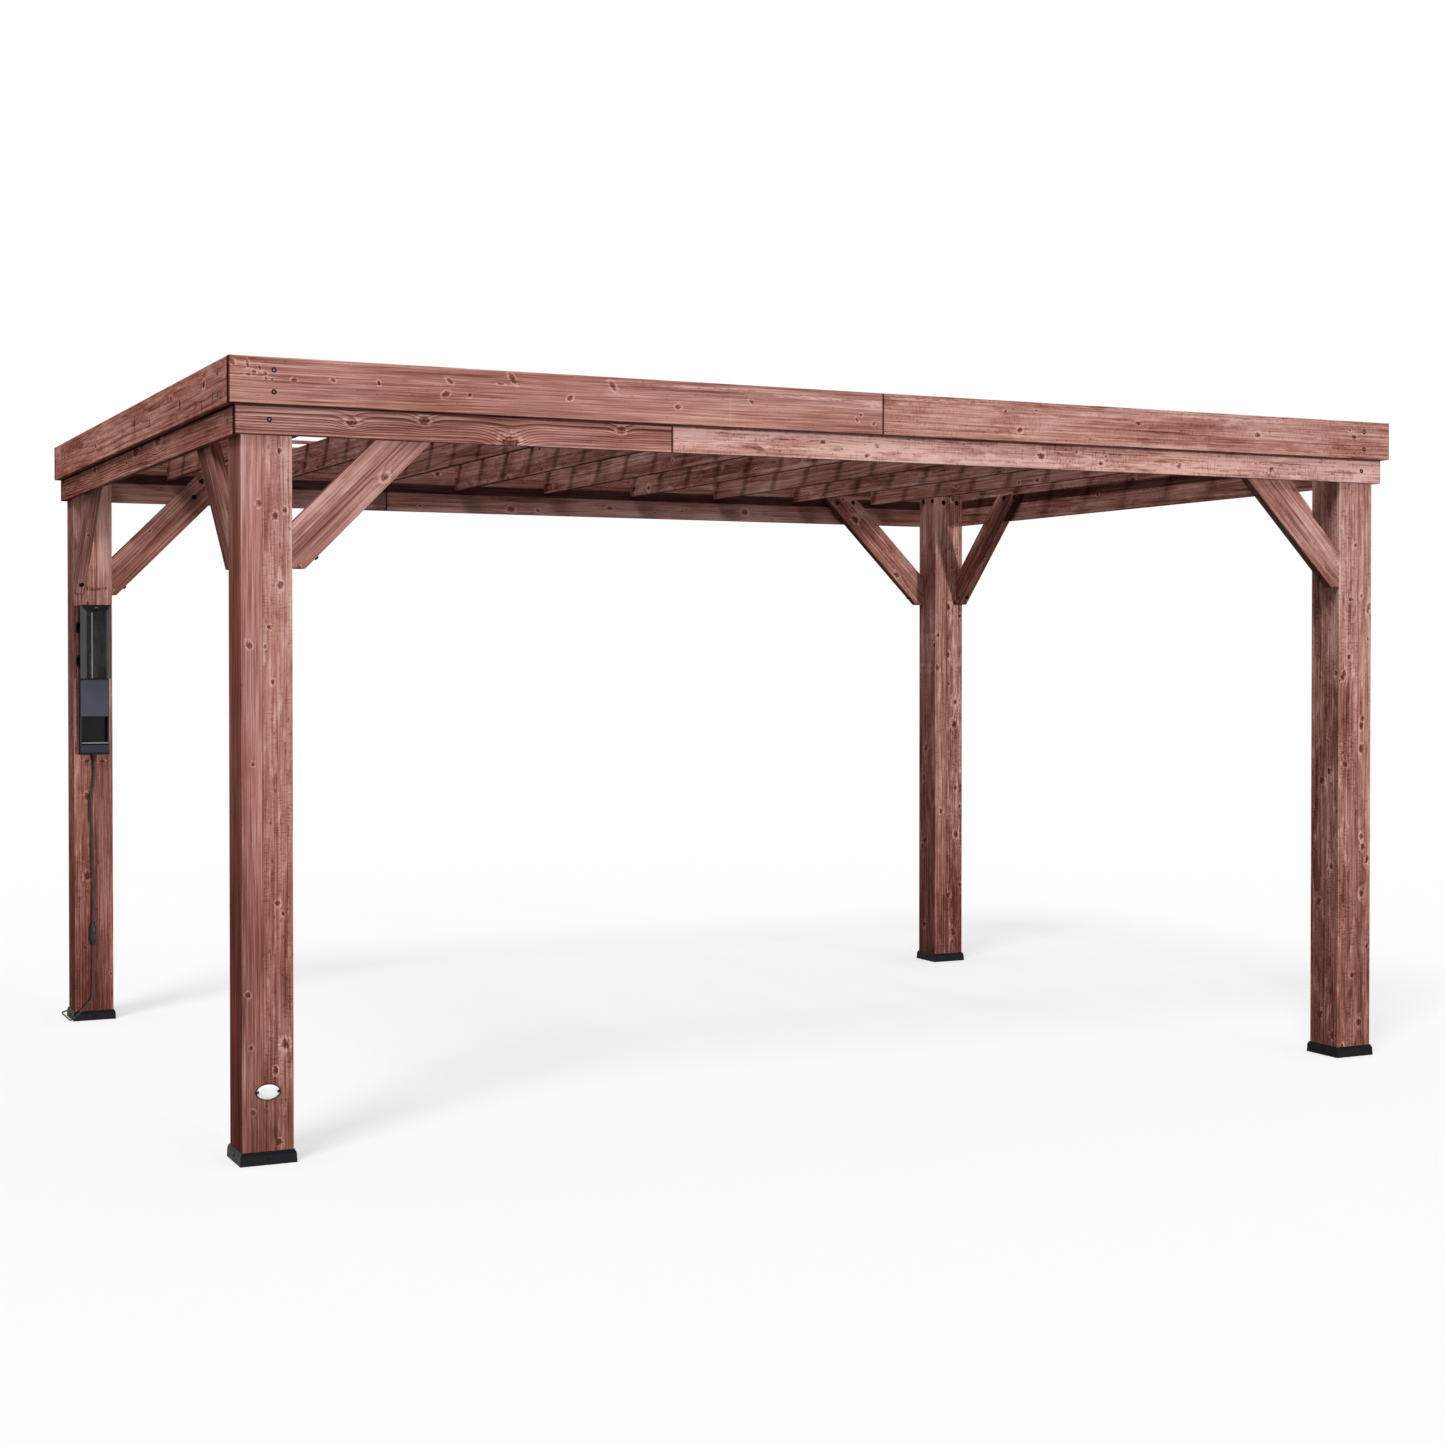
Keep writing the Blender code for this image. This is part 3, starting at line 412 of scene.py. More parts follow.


# each post's seam and its left and right board: a knot is (up the post from its middle, across, size,
# how drawn out, slant) and a mark is (up, across, half length, half width, how much darker)
# left_face_painted_light is painted shade on the front-left post's left faces and painted light on the
# front-right post's
POST_KINDS = {
    "front_left": (
        -SEAM,
        {"rough": 0.05, "knotty": 0.10, "dark": 0.05, "rings": 0.3, "pith": (0.004, -0.16, 0.05),
         "left_face_painted_light": (0.78, 0.60, 0.54),
         "knots": ((0.740, -0.0206, 0.006), (0.356, -0.0486, 0.006, 1.5, 0.5), (0.033, -0.0386, 0.004),
                   (-0.593, -0.0546, 0.005), (-0.737, -0.0466, 0.004), (-0.914, -0.0416, 0.005))},
        {"rough": 0.7, "knotty": 0.42, "dark": 0.04, "rings": 0.5, "pith": (0.0, 0.09, -0.04),
         "knots": ((0.883, 0.0364, 0.005), (0.706, 0.0244, 0.006), (0.723, 0.0504, 0.005),
                   (0.519, 0.0364, 0.007), (0.405, 0.0064, 0.004), (0.353, -0.0056, 0.004),
                   (-0.347, 0.0284, 0.005), (-0.733, 0.0464, 0.008), (-1.000, 0.0294, 0.006))},
    ),
    "front_right": (
        SEAM,
        {"rough": 0.9, "knotty": 0.35, "dark": 0.0, "left_face_painted_light": (1.35, 1.38, 1.38),
         "knots": ((0.711, 0.0006, 0.0070, 0.8, 0.4), (0.523, -0.0194, 0.0070, 0.7, 0.0),
                   (0.325, -0.0254, 0.0065), (0.269, -0.0484, 0.007), (-0.045, -0.0434, 0.008, 0.8, -0.5),
                   (-0.776, -0.0084, 0.0065)),
         "side_knots": ((0.269, -0.0556, 0.006), (-0.070, -0.0226, 0.007), (-0.103, 0.0134, 0.0095, 0.9, 0.6),
                        (-0.399, -0.0346, 0.007), (-0.526, 0.0264, 0.008, 1.2, 0.6),
                        (-0.920, 0.0194, 0.009, 1.2, 0.7)),
         "marks": ((-0.772, 0.012, 0.0018, 0.020, 0.6),)},
        {"rough": 0.6, "knotty": 0.25, "dark": -0.01,
         "knots": ((0.536, 0.0256, 0.0060, 0.8, 0.3), (0.495, 0.0586, 0.006, 2.2, -0.3),
                   (0.086, 0.0276, 0.0075), (0.009, 0.0276, 0.0085), (-0.296, 0.0296, 0.0065),
                   (-0.377, 0.0566, 0.006, 1.8, -0.4), (-0.494, 0.0306, 0.0075), (-0.941, 0.0196, 0.0075)),
         "marks": ((0.425, 0.0156, 0.030, 0.0015, 0.6), (0.250, 0.0290, 0.060, 0.0017, 0.5),
                   (0.050, 0.0340, 0.040, 0.0025, 0.5), (-0.772, 0.030, 0.0018, 0.016, 0.6))},
    ),
    "rear_left": (
        SEAM,
        {"rough": 0.6, "knotty": 0.5, "dark": 0.10, "knots": ((-0.070, -0.026, 0.008, 0.5, 0.0),),
         "marks": ((0.587, -0.024, 0.005, 0.012, 0.9), (0.583, -0.004, 0.005, 0.014, 0.9),
                   (-0.074, -0.026, 0.012, 0.010, 0.5))},
        {"rough": 0.3, "knotty": 0.5, "dark": 0.08, "knots": ((-0.071, 0.032, 0.008, 0.5, 0.0),),
         "marks": ((0.584, 0.018, 0.005, 0.012, 0.9), (0.588, 0.040, 0.005, 0.012, 0.9),
                   (-0.075, 0.032, 0.012, 0.010, 0.5))},
    ),
    "rear_right": (
        -SEAM,
        # the rear-right post has its own, smaller painted shade towards the foot
        {"rough": 0.6, "knotty": 0.35, "dark": 0.05, "painted_shade_to_foot": 0.17,
         "knots": ((0.426, -0.0574, 0.007), (0.277, -0.0604, 0.008), (-0.373, -0.0404, 0.007)),
         "side_knots": ((-0.089, 0.0096, 0.010, 1.2, 0.6), (-0.510, 0.0176, 0.010, 1.2, 0.6),
                        (-0.896, 0.0256, 0.010, 1.1, 0.5))},
        {"rough": 1.0, "knotty": 0.45, "dark": 0.02, "painted_shade_to_foot": 0.17,
         "knots": ((0.554, -0.0044, 0.010), (0.572, 0.0326, 0.007), (0.514, 0.0576, 0.006),
                   (0.336, -0.0044, 0.0085), (0.122, 0.0336, 0.009), (0.022, 0.0286, 0.010),
                   (-0.270, 0.0346, 0.008), (-0.353, 0.0576, 0.006), (-0.480, 0.0396, 0.009),
                   (-0.710, 0.0596, 0.006), (-0.757, -0.0024, 0.008), (-0.927, 0.0246, 0.009)),
         "marks": ((0.075, 0.0200, 0.050, 0.0018, 0.5), (-0.130, 0.010, 0.060, 0.0016, 0.4),
                   (-0.790, 0.0200, 0.024, 0.010, 0.35))},
    ),
}
# every post is painted lighter at its top and darker at its foot, as painted light and shade
PAINTED_SHADE_TO_FOOT = 0.25
for number, (corner, (side, way)) in enumerate(CORNERS.items()):
    offset, first, second = POST_KINDS[corner]
    first, second = ({"painted_shade_to_foot": PAINTED_SHADE_TO_FOOT, **kinds} for kinds in (first, second))
    middle, half = (side * POST_X, way * POST_Y, POST_TOP / 2), (POST / 2, POST / 2, POST_TOP / 2)
    made = cedar(corner + "_post_cedar", middle, Z, X, half, 11 + number, (offset, second), **first)
    finish_node(corner + "_post", made)

# ----------------------------------------
# Skirts
# A moulded black plastic skirt slips round the foot of each post. It flares
# to a lip on the ground and is held by one screw in the middle of each side.
# ----------------------------------------
SKIRT_SCREW_HIGH = 0.018
SKIRT_FACE = POST / 2 + 0.0068
PLASTIC_BLACK = (0.0060, 0.0050, 0.0078, 1)


def paler(colour, times, more=0.0):
    return (*(value * times + more for value in colour[:3]), 1)


def moulded(name, colour, gloss=0.48, grain=2600, dust=0.25, fore=None):
    """Moulded plastic, finely textured and dusty on top. fore is a colour for the foremost faces
    of a piece, with the deepest y and the highest z that it reaches. It is their own colour, and it fades
    out on faces turned away from the front, which keep the plain colour as painted shade."""
    made, tree, surface = new_finish(name)
    place = here(tree)
    fine, broad = patches(tree, place, grain, 1), patches(tree, place, 16, 3)
    up = sums(tree, "MULTIPLY_ADD", fade(tree, looks_to(tree, Z), 0.1, 1.0), 0.7, 0.3)
    dusty = sums(tree, "MULTIPLY", up, fade(tree, broad, 0.35, 0.75))
    shade = paint(tree, sums(tree, "MULTIPLY", dusty, dust), colour, paler(colour, 1.8, 0.008))
    if fore:
        deepest, highest, fore_colour = fore
        _, y, z = parts(tree, place)
        near, low = sums(tree, "LESS_THAN", y, deepest), sums(tree, "LESS_THAN", z, highest)
        # the fore colour fades out on faces turned away from the front: painted shade on the sides and under
        # the lip
        forward = fade(tree, looks_to(tree, Y), -0.2, -0.9)
        slate_with_painted_shade = sums(tree, "MULTIPLY", sums(tree, "MULTIPLY", near, low), forward)
        shade = paint(tree, slate_with_painted_shade, shade, fore_colour)
    gloss = sums(tree, "MULTIPLY_ADD", broad, 0.16, gloss - 0.08)
    surfaced(tree, surface, shade, gloss, fine, strength=0.25, height=0.0002, shine=0.07)
    return made


skirt_plastic = moulded("skirt_plastic", PLASTIC_BLACK, dust=0.35)
for corner in CORNERS:
    finish_node(corner + "_skirt", skirt_plastic)


def skin(shape, rows):
    """Closes rows of points into a body. A row of one point is a pole, and a longer end row is capped."""
    for first, second in zip(rows, rows[1:]):
        count = max(len(first), len(second))
        for i in range(count):
            j = (i + 1) % count
            if len(first) == 1:
                shape.faces.new((first[0], second[i], second[j]))
            elif len(second) == 1:
                shape.faces.new((first[i], first[j], second[0]))
            else:
                shape.faces.new((first[i], first[j], second[j], second[i]))
    for end in (rows[0], rows[-1]):
        if len(end) > 1:
            shape.faces.new(end)


def circle(count):
    return [2 * math.pi * step / count for step in range(count)]


def turned(shape, profile, middle, way, sides=24, lobes=()):
    """Adds a closed body turned about the way it faces. lobes are the rings cut as a driver's socket."""
    turn = Vector(way).normalized().to_track_quat("Z", "Y").to_matrix()
    rings = []
    for index, (radius, height) in enumerate(profile):
        ring = []
        for angle in circle(sides) if radius else (0,):
            reach = radius * (1 + (0.16 * math.cos(6 * angle) if index in lobes else 0))
            spot = Vector((reach * math.cos(angle), reach * math.sin(angle), height))
            ring.append(shape.verts.new(turn @ spot + Vector(middle)))
        rings.append(ring)
    skin(shape, rings)


def piece(name, shape, made, body="frame", angle=35):
    """Closes a shape into a named piece with its material, riding on its body."""
    bmesh.ops.recalc_face_normals(shape, faces=shape.faces)
    mesh = bpy.data.meshes.new(name)
    shape.to_mesh(mesh)
    shape.free()
    mesh.shade_smooth()
    mesh.set_sharp_from_angle(angle=math.radians(angle))
    mesh.materials.append(made)
    obj = bpy.data.objects.new(name, mesh)
    bpy.context.scene.collection.objects.link(obj)
    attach(obj, body)
    return obj


def coated_steel(name, colour, gloss=0.42, metal=0.0):
    """Screw steel, coated dark or rubbed bare and bright in places."""
    made, tree, surface = new_finish(name)
    rubbed = patchy(tree, here(tree), 420, 3, 0.48, 0.72)
    shade = paint(tree, rubbed, colour, paler(colour, 3.2, 0.004))
    gloss = sums(tree, "MULTIPLY_ADD", rubbed, -0.14, gloss)
    surfaced(tree, surface, shade, gloss, rubbed, strength=0.3, height=0.0001, shine=0.08)
    surface.inputs["Metallic"].default_value = metal
    return made


screw_steel = coated_steel("screw_steel", (0.0045, 0.0038, 0.0038, 1))
# each profile is a list of (radius, height off the face)
SCREW_HEAD = (
    (0, -0.0020), (0.0068, -0.0020), (0.0074, 0.0), (0.0072, 0.0007), (0.0060, 0.0011),
    (0.0046, 0.0008), (0.0040, 0.0002), (0, 0.0002),
)
SCREW_CROWN = (
    (0, -0.0004), (0.0027, -0.0004), (0.0029, 0.0008), (0.0025, 0.0012), (0.0016, 0.0013),
    (0.0014, 0.0001), (0, 0.0),
)


def screw(flanges, crowns, spot, way):
    """A flanged black head with a small raised crown in it that holds the driver's socket."""
    turned(flanges, SCREW_HEAD, spot, way)
    turned(crowns, SCREW_CROWN, spot, way, sides=18, lobes=(4, 5))


heads, crowns = bmesh.new(), bmesh.new()
for side, way in CORNERS.values():
    for quarter in range(4):
        out = Matrix.Rotation(quarter * math.pi / 2, 3, "Z") @ Y
        spot = Vector((side * POST_X, way * POST_Y, SKIRT_SCREW_HIGH)) + out * SKIRT_FACE
        screw(heads, crowns, spot, out)
piece("skirt_screws", heads, screw_steel)
piece("skirt_screw_crowns", crowns, screw_steel)

# ----------------------------------------
# Roof ring
# Three rings of cedar boards tie the posts: a band screwed to the posts'
# outer faces, a deeper fascia outside it and a rim inside the fascia. The
# long boards are two lengths butted together.
# ----------------------------------------
BOARD = 0.020
LEVELS = {"fascia": (2.064, 2.19), "band": (1.9827, 2.0947), "rim": (2.095, 2.19)}
UNDER_FASCIA = LEVELS["fascia"][0] - sum(LEVELS["band"]) / 2
FASCIA_FACE = Vector((2.01, 1.45, 0))
BAND_FACE = Vector((1.9897, 1.4297, 0))
# knots as (along the roof, up the board, size, how drawn out, slant), and marks as
# (along, up, half length, half width, how much darker)
FRONT_FASCIA_LEFT = (
    (-2.001, 0.046, 0.005, 1.6, 0.9), (-1.959, 0.041, 0.003, 2.6, 1.5), (-1.941, 0.021, 0.0035, 1.6, 0.2),
    (-1.911, 0.018, 0.0032, 1.5, 0.5), (-1.956, 0.011, 0.003, 1.8, 0.3), (-1.908, 0.004, 0.003, 1.5, 0.9),
    (-1.926, 0.033, 0.0025, 2.4, 1.4), (-1.892, 0.002, 0.0026, 1.4, 0.2), (-1.832, 0.004, 0.0048),
    (-1.724, 0.010, 0.004, 1.3, 0.5), (-1.595, 0.008, 0.0036, 1.4, 1.3), (-1.390, 0.025, 0.0045, 1.9, 0.6),
    (-1.402, -0.012, 0.0055, 1.7, -0.5), (-1.332, -0.011, 0.004, 1.3, -1.2), (-1.204, 0.041, 0.0058, 2.2, 0.95),
    (-1.240, 0.025, 0.0026, 3.0, 0.1), (-1.030, -0.004, 0.0050, 1.6, -0.7), (-0.897, 0.037, 0.0056, 2.3, 0.95),
    (-0.691, -0.013, 0.0058, 1.2, 0.0), (-0.449, 0.014, 0.0046, 1.9, 0.85), (-0.078, -0.007, 0.0034),
    (-0.092, -0.023, 0.0034, 1.6, 0.8), (-0.032, -0.030, 0.0036, 1.6, -0.8),
)
FRONT_FASCIA_LEFT_MARKS = (
    (-0.620, 0.046, 0.22, 0.0045, -0.42), (-0.230, 0.036, 0.20, 0.0055, -0.42),
    (-0.032, 0.026, 0.035, 0.010, -0.50), (-0.521, -0.016, 0.0012, 0.045, -0.40),
    (-1.955, 0.026, 0.045, 0.030, -0.16),
)
FRONT_FASCIA_RIGHT = ((0.497, -0.027, 0.006), (1.441, -0.002, 0.007), (1.854, 0.009, 0.007))
FRONT_FASCIA_RIGHT_MARKS = ((0.2, 0.052, 0.25, 0.006, -0.45), (1.3, 0.045, 0.3, 0.006, -0.4))
FRONT_BAND_LEFT = (
    (-1.666, -0.012, 0.0095, 1.25, 0.0), (-1.459, 0.003, 0.0090, 1.3, 0.1), (-1.205, -0.050, 0.016),
    (-0.863, 0.002, 0.008),
)
FRONT_BAND_RIGHT = (
    (-0.198, -0.005, 0.006), (-0.045, -0.038, 0.006), (0.590, -0.016, 0.008), (0.821, -0.030, 0.006),
    (1.132, -0.028, 0.007), (1.513, -0.023, 0.007),
)
FRONT_BAND_RIGHT_MARKS = (
    (-0.290, -0.002, 0.085, 0.0030, 0.60), (-0.100, 0.004, 0.060, 0.0022, 0.35),
    (-0.480, 0.018, 0.18, 0.0020, 0.35), (0.30, 0.012, 0.35, 0.0018, 0.30),
    (-0.30, -0.030, 0.30, 0.012, -0.25),
)
LEFT_FASCIA_TICKS = tuple(
    (y, up, 0.0060, 0.016, 0.75) for y, up in (
        (-0.304, 0.022), (-0.390, -0.020), (-0.537, 0.011), (-0.832, -0.015), (-1.122, -0.041),
        (-1.260, -0.029), (1.026, 0.004), (1.212, 0.0), (0.709, -0.012), (-0.149, -0.002),
    )
)
LEFT_BAND_KNOTS = (
    (-0.413, 0.020, 0.016, 2.2, 0.0), (-0.062, 0.008, 0.013, 2.4, 0.0), (0.689, 0.007, 0.010, 2.0, 0.0),
)
RING_BOARDS = {
    "front_fascia_left": (31, {
        "rough": 0.1, "knotty": 0.0, "rings": 0.5, "push": 0.7, "pith": (0.012, 0.10, 0.09), "dark": -0.06,
        "knots": FRONT_FASCIA_LEFT, "marks": FRONT_FASCIA_LEFT_MARKS}),
    "front_fascia_right": (32, {
        "rough": 0.65, "knotty": 0.25, "rings": 0.5, "push": 0.6, "pith": (-0.01, -0.06, 0.06), "dark": -0.10,
        "knots": FRONT_FASCIA_RIGHT, "marks": FRONT_FASCIA_RIGHT_MARKS}),
    "rear_fascia_left": (33, {"rough": 0.2}),
    "rear_fascia_right": (34, {"rough": 0.5}),
    # the left fascia's dye is painted light: it lightens the board for the light that falls on the left side
    "left_fascia": (35, {"rough": 0.55, "rings": 0.7, "dye_and_painted_light": (1.60, 1.42, 1.33), "marks": LEFT_FASCIA_TICKS}),
    "right_fascia": (36, {"rough": 0.4}),
    "front_band_left": (41, {
        "rough": 0.1, "knotty": 0.0, "rings": 1.5, "push": 1.7, "pith": (0.01, -0.105, 0.025), "dark": -0.07,
        "knots": FRONT_BAND_LEFT}),
    "front_band_right": (42, {
        "rough": 1.0, "knotty": 0.25, "rings": 0.5, "pith": (-0.01, 0.05, 0.07), "dark": -0.24,
        "dye_and_painted_light": (1.14, 1.18, 1.20), "knots": FRONT_BAND_RIGHT, "marks": FRONT_BAND_RIGHT_MARKS}),
    "rear_band_left": (43, {"rough": 0.1, "knotty": 0.5, "dark": -0.19}),
    "rear_band_right": (44, {"rough": 0.2, "knotty": 0.5, "dark": -0.17}),
    # the left band's dye is painted light, as on the left fascia
    "left_band": (45, {
        "rough": 0.3, "knotty": 0.35, "rings": 1.3, "push": 1.6, "pith": (0.01, -0.10, 0.03),
        "dye_and_painted_light": (1.42, 1.26, 1.18), "knots": LEFT_BAND_KNOTS}),
    "right_band": (46, {"rough": 0.5, "knotty": 0.5}),
    "front_rim": (51, {"rough": 0.5}),
    "rear_rim": (52, {"rough": 0.5}),
    "left_rim": (53, {"rough": 0.5}),
    "right_rim": (54, {"rough": 0.5}),
}
for node, (seed, kinds) in RING_BOARDS.items():
    side, ring = node.split("_")[:2]
    lengthwise = 0 if side in ("front", "rear") else 1
    bottom, top = LEVELS[ring]
    low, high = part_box(node)
    middle = (*((low[i] + high[i]) / 2 for i in (0, 1)), (bottom + top) / 2)
    for placed in ("knots", "marks"):
        kinds[placed] = [(spot[0] - middle[lengthwise], *spot[1:]) for spot in kinds.get(placed, ())]
    # each band gets a painted shade line just under the fascia's lower edge
    if ring == "band":
        kinds["line"] = UNDER_FASCIA
    half = ((top - bottom) / 2, BOARD / 2, (high[lengthwise] - low[lengthwise]) / 2)
    finish_node(node, cedar(node + "_cedar", middle, (X, Y)[lengthwise], Z, half, seed, **kinds))

# ----------------------------------------
# Rafters
# Nine planed boards on edge span from the front band to the rear one. The
# ten slats lie across them and are screwed down, and the middle rafter and
# the slats are one solid in the model.
# ----------------------------------------
RAFTER = (2.074, 2.18)
RAFTER_THICK = 0.020
SLAT_WIDE, SLAT_THICK = 0.038, 0.010
FIRST_SLAT_Y, SLAT_PITCH = -1.1667, 0.278
RAFTER_MIDDLE, SLAT_MIDDLE = sum(RAFTER) / 2, RAFTER[1] + SLAT_THICK / 2
RAFTER_HALF = ((RAFTER[1] - RAFTER[0]) / 2, RAFTER_THICK / 2, FASCIA_FACE.y)
for number in (1, 2, 3, 4, 6, 7, 8, 9):
    node = f"rafter_{number}"
    low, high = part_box(node)
    middle = ((low[0] + high[0]) / 2, 0, RAFTER_MIDDLE)
    kinds = {"rough": (0.7, 0.2)[number % 2], "knotty": 0.45, "dark": 0.02 * (number % 3 - 1)}
    finish_node(node, cedar(node + "_cedar", middle, Y, Z, RAFTER_HALF, 60 + number, **kinds))

made, tree, surface = new_finish("middle_rafter_and_slats_cedar")
place = board_place(tree, (0, 0, RAFTER_MIDDLE), Y, Z)
ends, sides = looks_along(tree, Y), looks_along(tree, Z)
rafter_wood = wood(tree, place, ends, sides, RAFTER_HALF, 65, rough=0.5, knotty=0.45)
# every slat is read from its own stretch of wood, far from the next one's
_, y, z = parts(tree, here(tree))
count = sums(tree, "DIVIDE", sums(tree, "SUBTRACT", y, FIRST_SLAT_Y - SLAT_PITCH / 2), SLAT_PITCH)
within = sums(tree, "MULTIPLY", sums(tree, "SUBTRACT", sums(tree, "FRACT", count), 0.5), SLAT_PITCH)
slat_x = parts(tree, board_place(tree, (0, 0, SLAT_MIDDLE), X, Y))[0]
slat_x = sums(tree, "MULTIPLY_ADD", sums(tree, "FLOOR", count), 5.3, slat_x)
place = joined(tree, slat_x, within, sums(tree, "SUBTRACT", z, SLAT_MIDDLE))
half, pith = (SLAT_WIDE / 2, SLAT_THICK / 2, 99.0), (0, 0.03, 0.06)
slat_wood = wood(tree, place, looks_along(tree, X), looks_along(tree, Y), half, 75, rough=0.5, pith=pith)
is_slat = sums(tree, "GREATER_THAN", z, RAFTER[1] - 0.0005)
stained(tree, surface, either(tree, is_slat, rafter_wood, slat_wood))
finish_node("middle_rafter_and_slats", made)

# ----------------------------------------
# Braces
# Eight knee braces, two from each post at 45 degrees, stiffen the frame. Each
# is a planed board bevelled at both ends and bolted to the post below and to
# the band above.
# ----------------------------------------
BRACE_WIDE, BRACE_THICK = 0.113, 0.035
BRACE_FOOT = 1.6227
SLOPE = math.sqrt(0.5)
BRACE_STAIN = {
    "rear_right_side_brace": 0.30, "rear_right_long_brace": 0.10,
    "rear_left_long_brace": 0.12, "front_left_side_brace": 0.10,
}


def middle_of(node):
    low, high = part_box(node)
    return (Vector(low) + Vector(high)) / 2


for number, (corner, (side, way)) in enumerate(CORNERS.items()):
    for kind, seed, level in (("long", 81, X * -side), ("side", 91, Y * -way)):
        node = f"{corner}_{kind}_brace"
        kinds = {"rough": (0.2, 0.6)[number % 2], "knotty": 0.6, "dark": BRACE_STAIN.get(node, 0.0)}
        if node == "front_left_long_brace":
            kinds = {"rough": 0.1, "knotty": 0.15, "knots": ((0.02, 0.01, 0.008),), "dark": -0.02}
        along, across, half = (level + Z) * SLOPE, (Z - level) * SLOPE, (BRACE_WIDE / 2, BRACE_THICK / 2, 9.0)
        made = cedar(node + "_cedar", middle_of(node), along, across, half, seed + number, **kinds)
        finish_node(node, made)

# ----------------------------------------
# Screws and bolts
# Black wood screws, two to a fascia's end and one to a band's, hold the ring.
# Flanged bolts of black coated steel, two in each brace's head and one in its
# foot, hold the braces, and a pair more shows on both inner faces of a post.
# ----------------------------------------
bare_steel = coated_steel("bare_steel", (0.15, 0.125, 0.12, 1), gloss=0.40, metal=0.5)
BOLT_HEAD = (
    (0, -0.0015), (0.0095, -0.0015), (0.0100, 0.0005), (0.0098, 0.0012), (0.0072, 0.0018),
    (0.0068, 0.0052), (0.0056, 0.0064), (0.0036, 0.0064), (0.0033, 0.0024), (0, 0.0022),
)
FASCIA_SCREWS_Z, BAND_SCREWS_Z = (2.155, 2.096), (2.0235,)
heads, crowns = bmesh.new(), bmesh.new()
for face, heights, spots_x, spots_y in (
    (FASCIA_FACE, FASCIA_SCREWS_Z, (-1.887, 1.898), (-1.318, 1.369)),
    (BAND_FACE, BAND_SCREWS_Z, (-1.895, 1.905), (-1.350, 1.350)),
):
    for z in heights:
        for x in spots_x:
            screw(heads, crowns, (x, -face.y, z), -Y)
            screw(heads, crowns, (x, face.y, z), Y)
        for y in spots_y:
            screw(heads, crowns, (-face.x, y, z), -X)
            screw(heads, crowns, (face.x, y, z), X)
piece("ring_screws", heads, screw_steel)
piece("ring_screw_crowns", crowns, bare_steel)

# (distance from the post's middle, height) of the bolts in the braces' heads
HEAD_BOLTS_LONG = {-1: ((0.4364, 2.075), (0.4074, 2.011)), 1: ((0.5164, 2.078), (0.4394, 2.080))}
HEAD_BOLTS_SIDE = ((0.4724, 2.084), (0.5554, 2.082))
FOOT_BOLT_IN, FOOT_BOLT_Z = POST / 2 + 0.036 + 0.033, BRACE_FOOT + 0.033
POST_BOLTS_LONG, POST_BOLTS_LONG_Z = (-0.0294, 0.0386), 2.086
POST_BOLTS_SIDE, POST_BOLTS_SIDE_Z = (-0.0464, 0.0326), 2.093
bolts = bmesh.new()
for side, way in CORNERS.values():
    inner_x, inner_y = side * (POST_X - POST / 2), way * (POST_Y - POST / 2)
    for off in POST_BOLTS_LONG:
        turned(bolts, BOLT_HEAD, (side * (POST_X + off), inner_y, POST_BOLTS_LONG_Z), Y * -way)
    for off in POST_BOLTS_SIDE:
        turned(bolts, BOLT_HEAD, (inner_x, way * (POST_Y + off), POST_BOLTS_SIDE_Z), X * -side)
    # the braces are flush with the posts outside, so their bolts show on the inner faces
    face_x, face_y = side * (POST_X + POST / 2 - BRACE_THICK), way * (POST_Y + POST / 2 - BRACE_THICK)
    for off, z in HEAD_BOLTS_LONG[side]:
        turned(bolts, BOLT_HEAD, (side * (POST_X - off), face_y, z), Y * -way)
    for off, z in HEAD_BOLTS_SIDE:
        turned(bolts, BOLT_HEAD, (face_x, way * (POST_Y - off), z), X * -side)
    # one bolt goes up through the underside of each foot
    spot = (side * (POST_X - FOOT_BOLT_IN), face_y + way * BRACE_THICK / 2, FOOT_BOLT_Z)
    turned(bolts, BOLT_HEAD, spot, (X * -side - Z) * SLOPE)
    spot = (face_x + side * BRACE_THICK / 2, way * (POST_Y - FOOT_BOLT_IN), FOOT_BOLT_Z)
    turned(bolts, BOLT_HEAD, spot, (Y * -way - Z) * SLOPE)
piece("brace_bolts", bolts, screw_steel)

# ----------------------------------------
# Badge
# A pressed oval plate, pale and bare inside a darker raised rim, is fixed low
# on the front-left post by a small screw at each end.
# ----------------------------------------
BADGE_X, BADGE_Z = -1.8987, 0.198
BADGE_WIDE, BADGE_HIGH = 0.071, 0.046
BADGE_SIDES = 72
POST_FACE_Y = -POST_Y - POST / 2


def enamelled(name, colour, gloss=0.32, shine=0.5):
    """Painted plate with faint scratches and a little grime."""
    made, tree, surface = new_finish(name)
    grime = patchy(tree, here(tree), 60, 4, 0.42, 0.80)
    scratch = patchy(tree, here(tree), (1500, 90, 1500), 1, 0.66, 0.74)
    shade = paint(tree, grime, colour, paler(colour, 0.72))
    gloss = sums(tree, "MULTIPLY_ADD", scratch, 0.2, gloss)
    surfaced(tree, surface, shade, gloss, scratch, strength=0.2, height=0.0001, shine=shine)
    return made


def oval(name, rings, made):
    """A closed oval plate on the post: each ring is (share of the size, height off the post)."""
    shape, rows = bmesh.new(), []
    for share, height in rings:
        wide, high = BADGE_WIDE / 2 * share, BADGE_HIGH / 2 * share
        rows.append([
            shape.verts.new((BADGE_X + wide * math.cos(a), POST_FACE_Y - height, BADGE_Z + high * math.sin(a)))
            for a in circle(BADGE_SIDES)
        ])
    skin(shape, rows)
    return piece(name, shape, made)


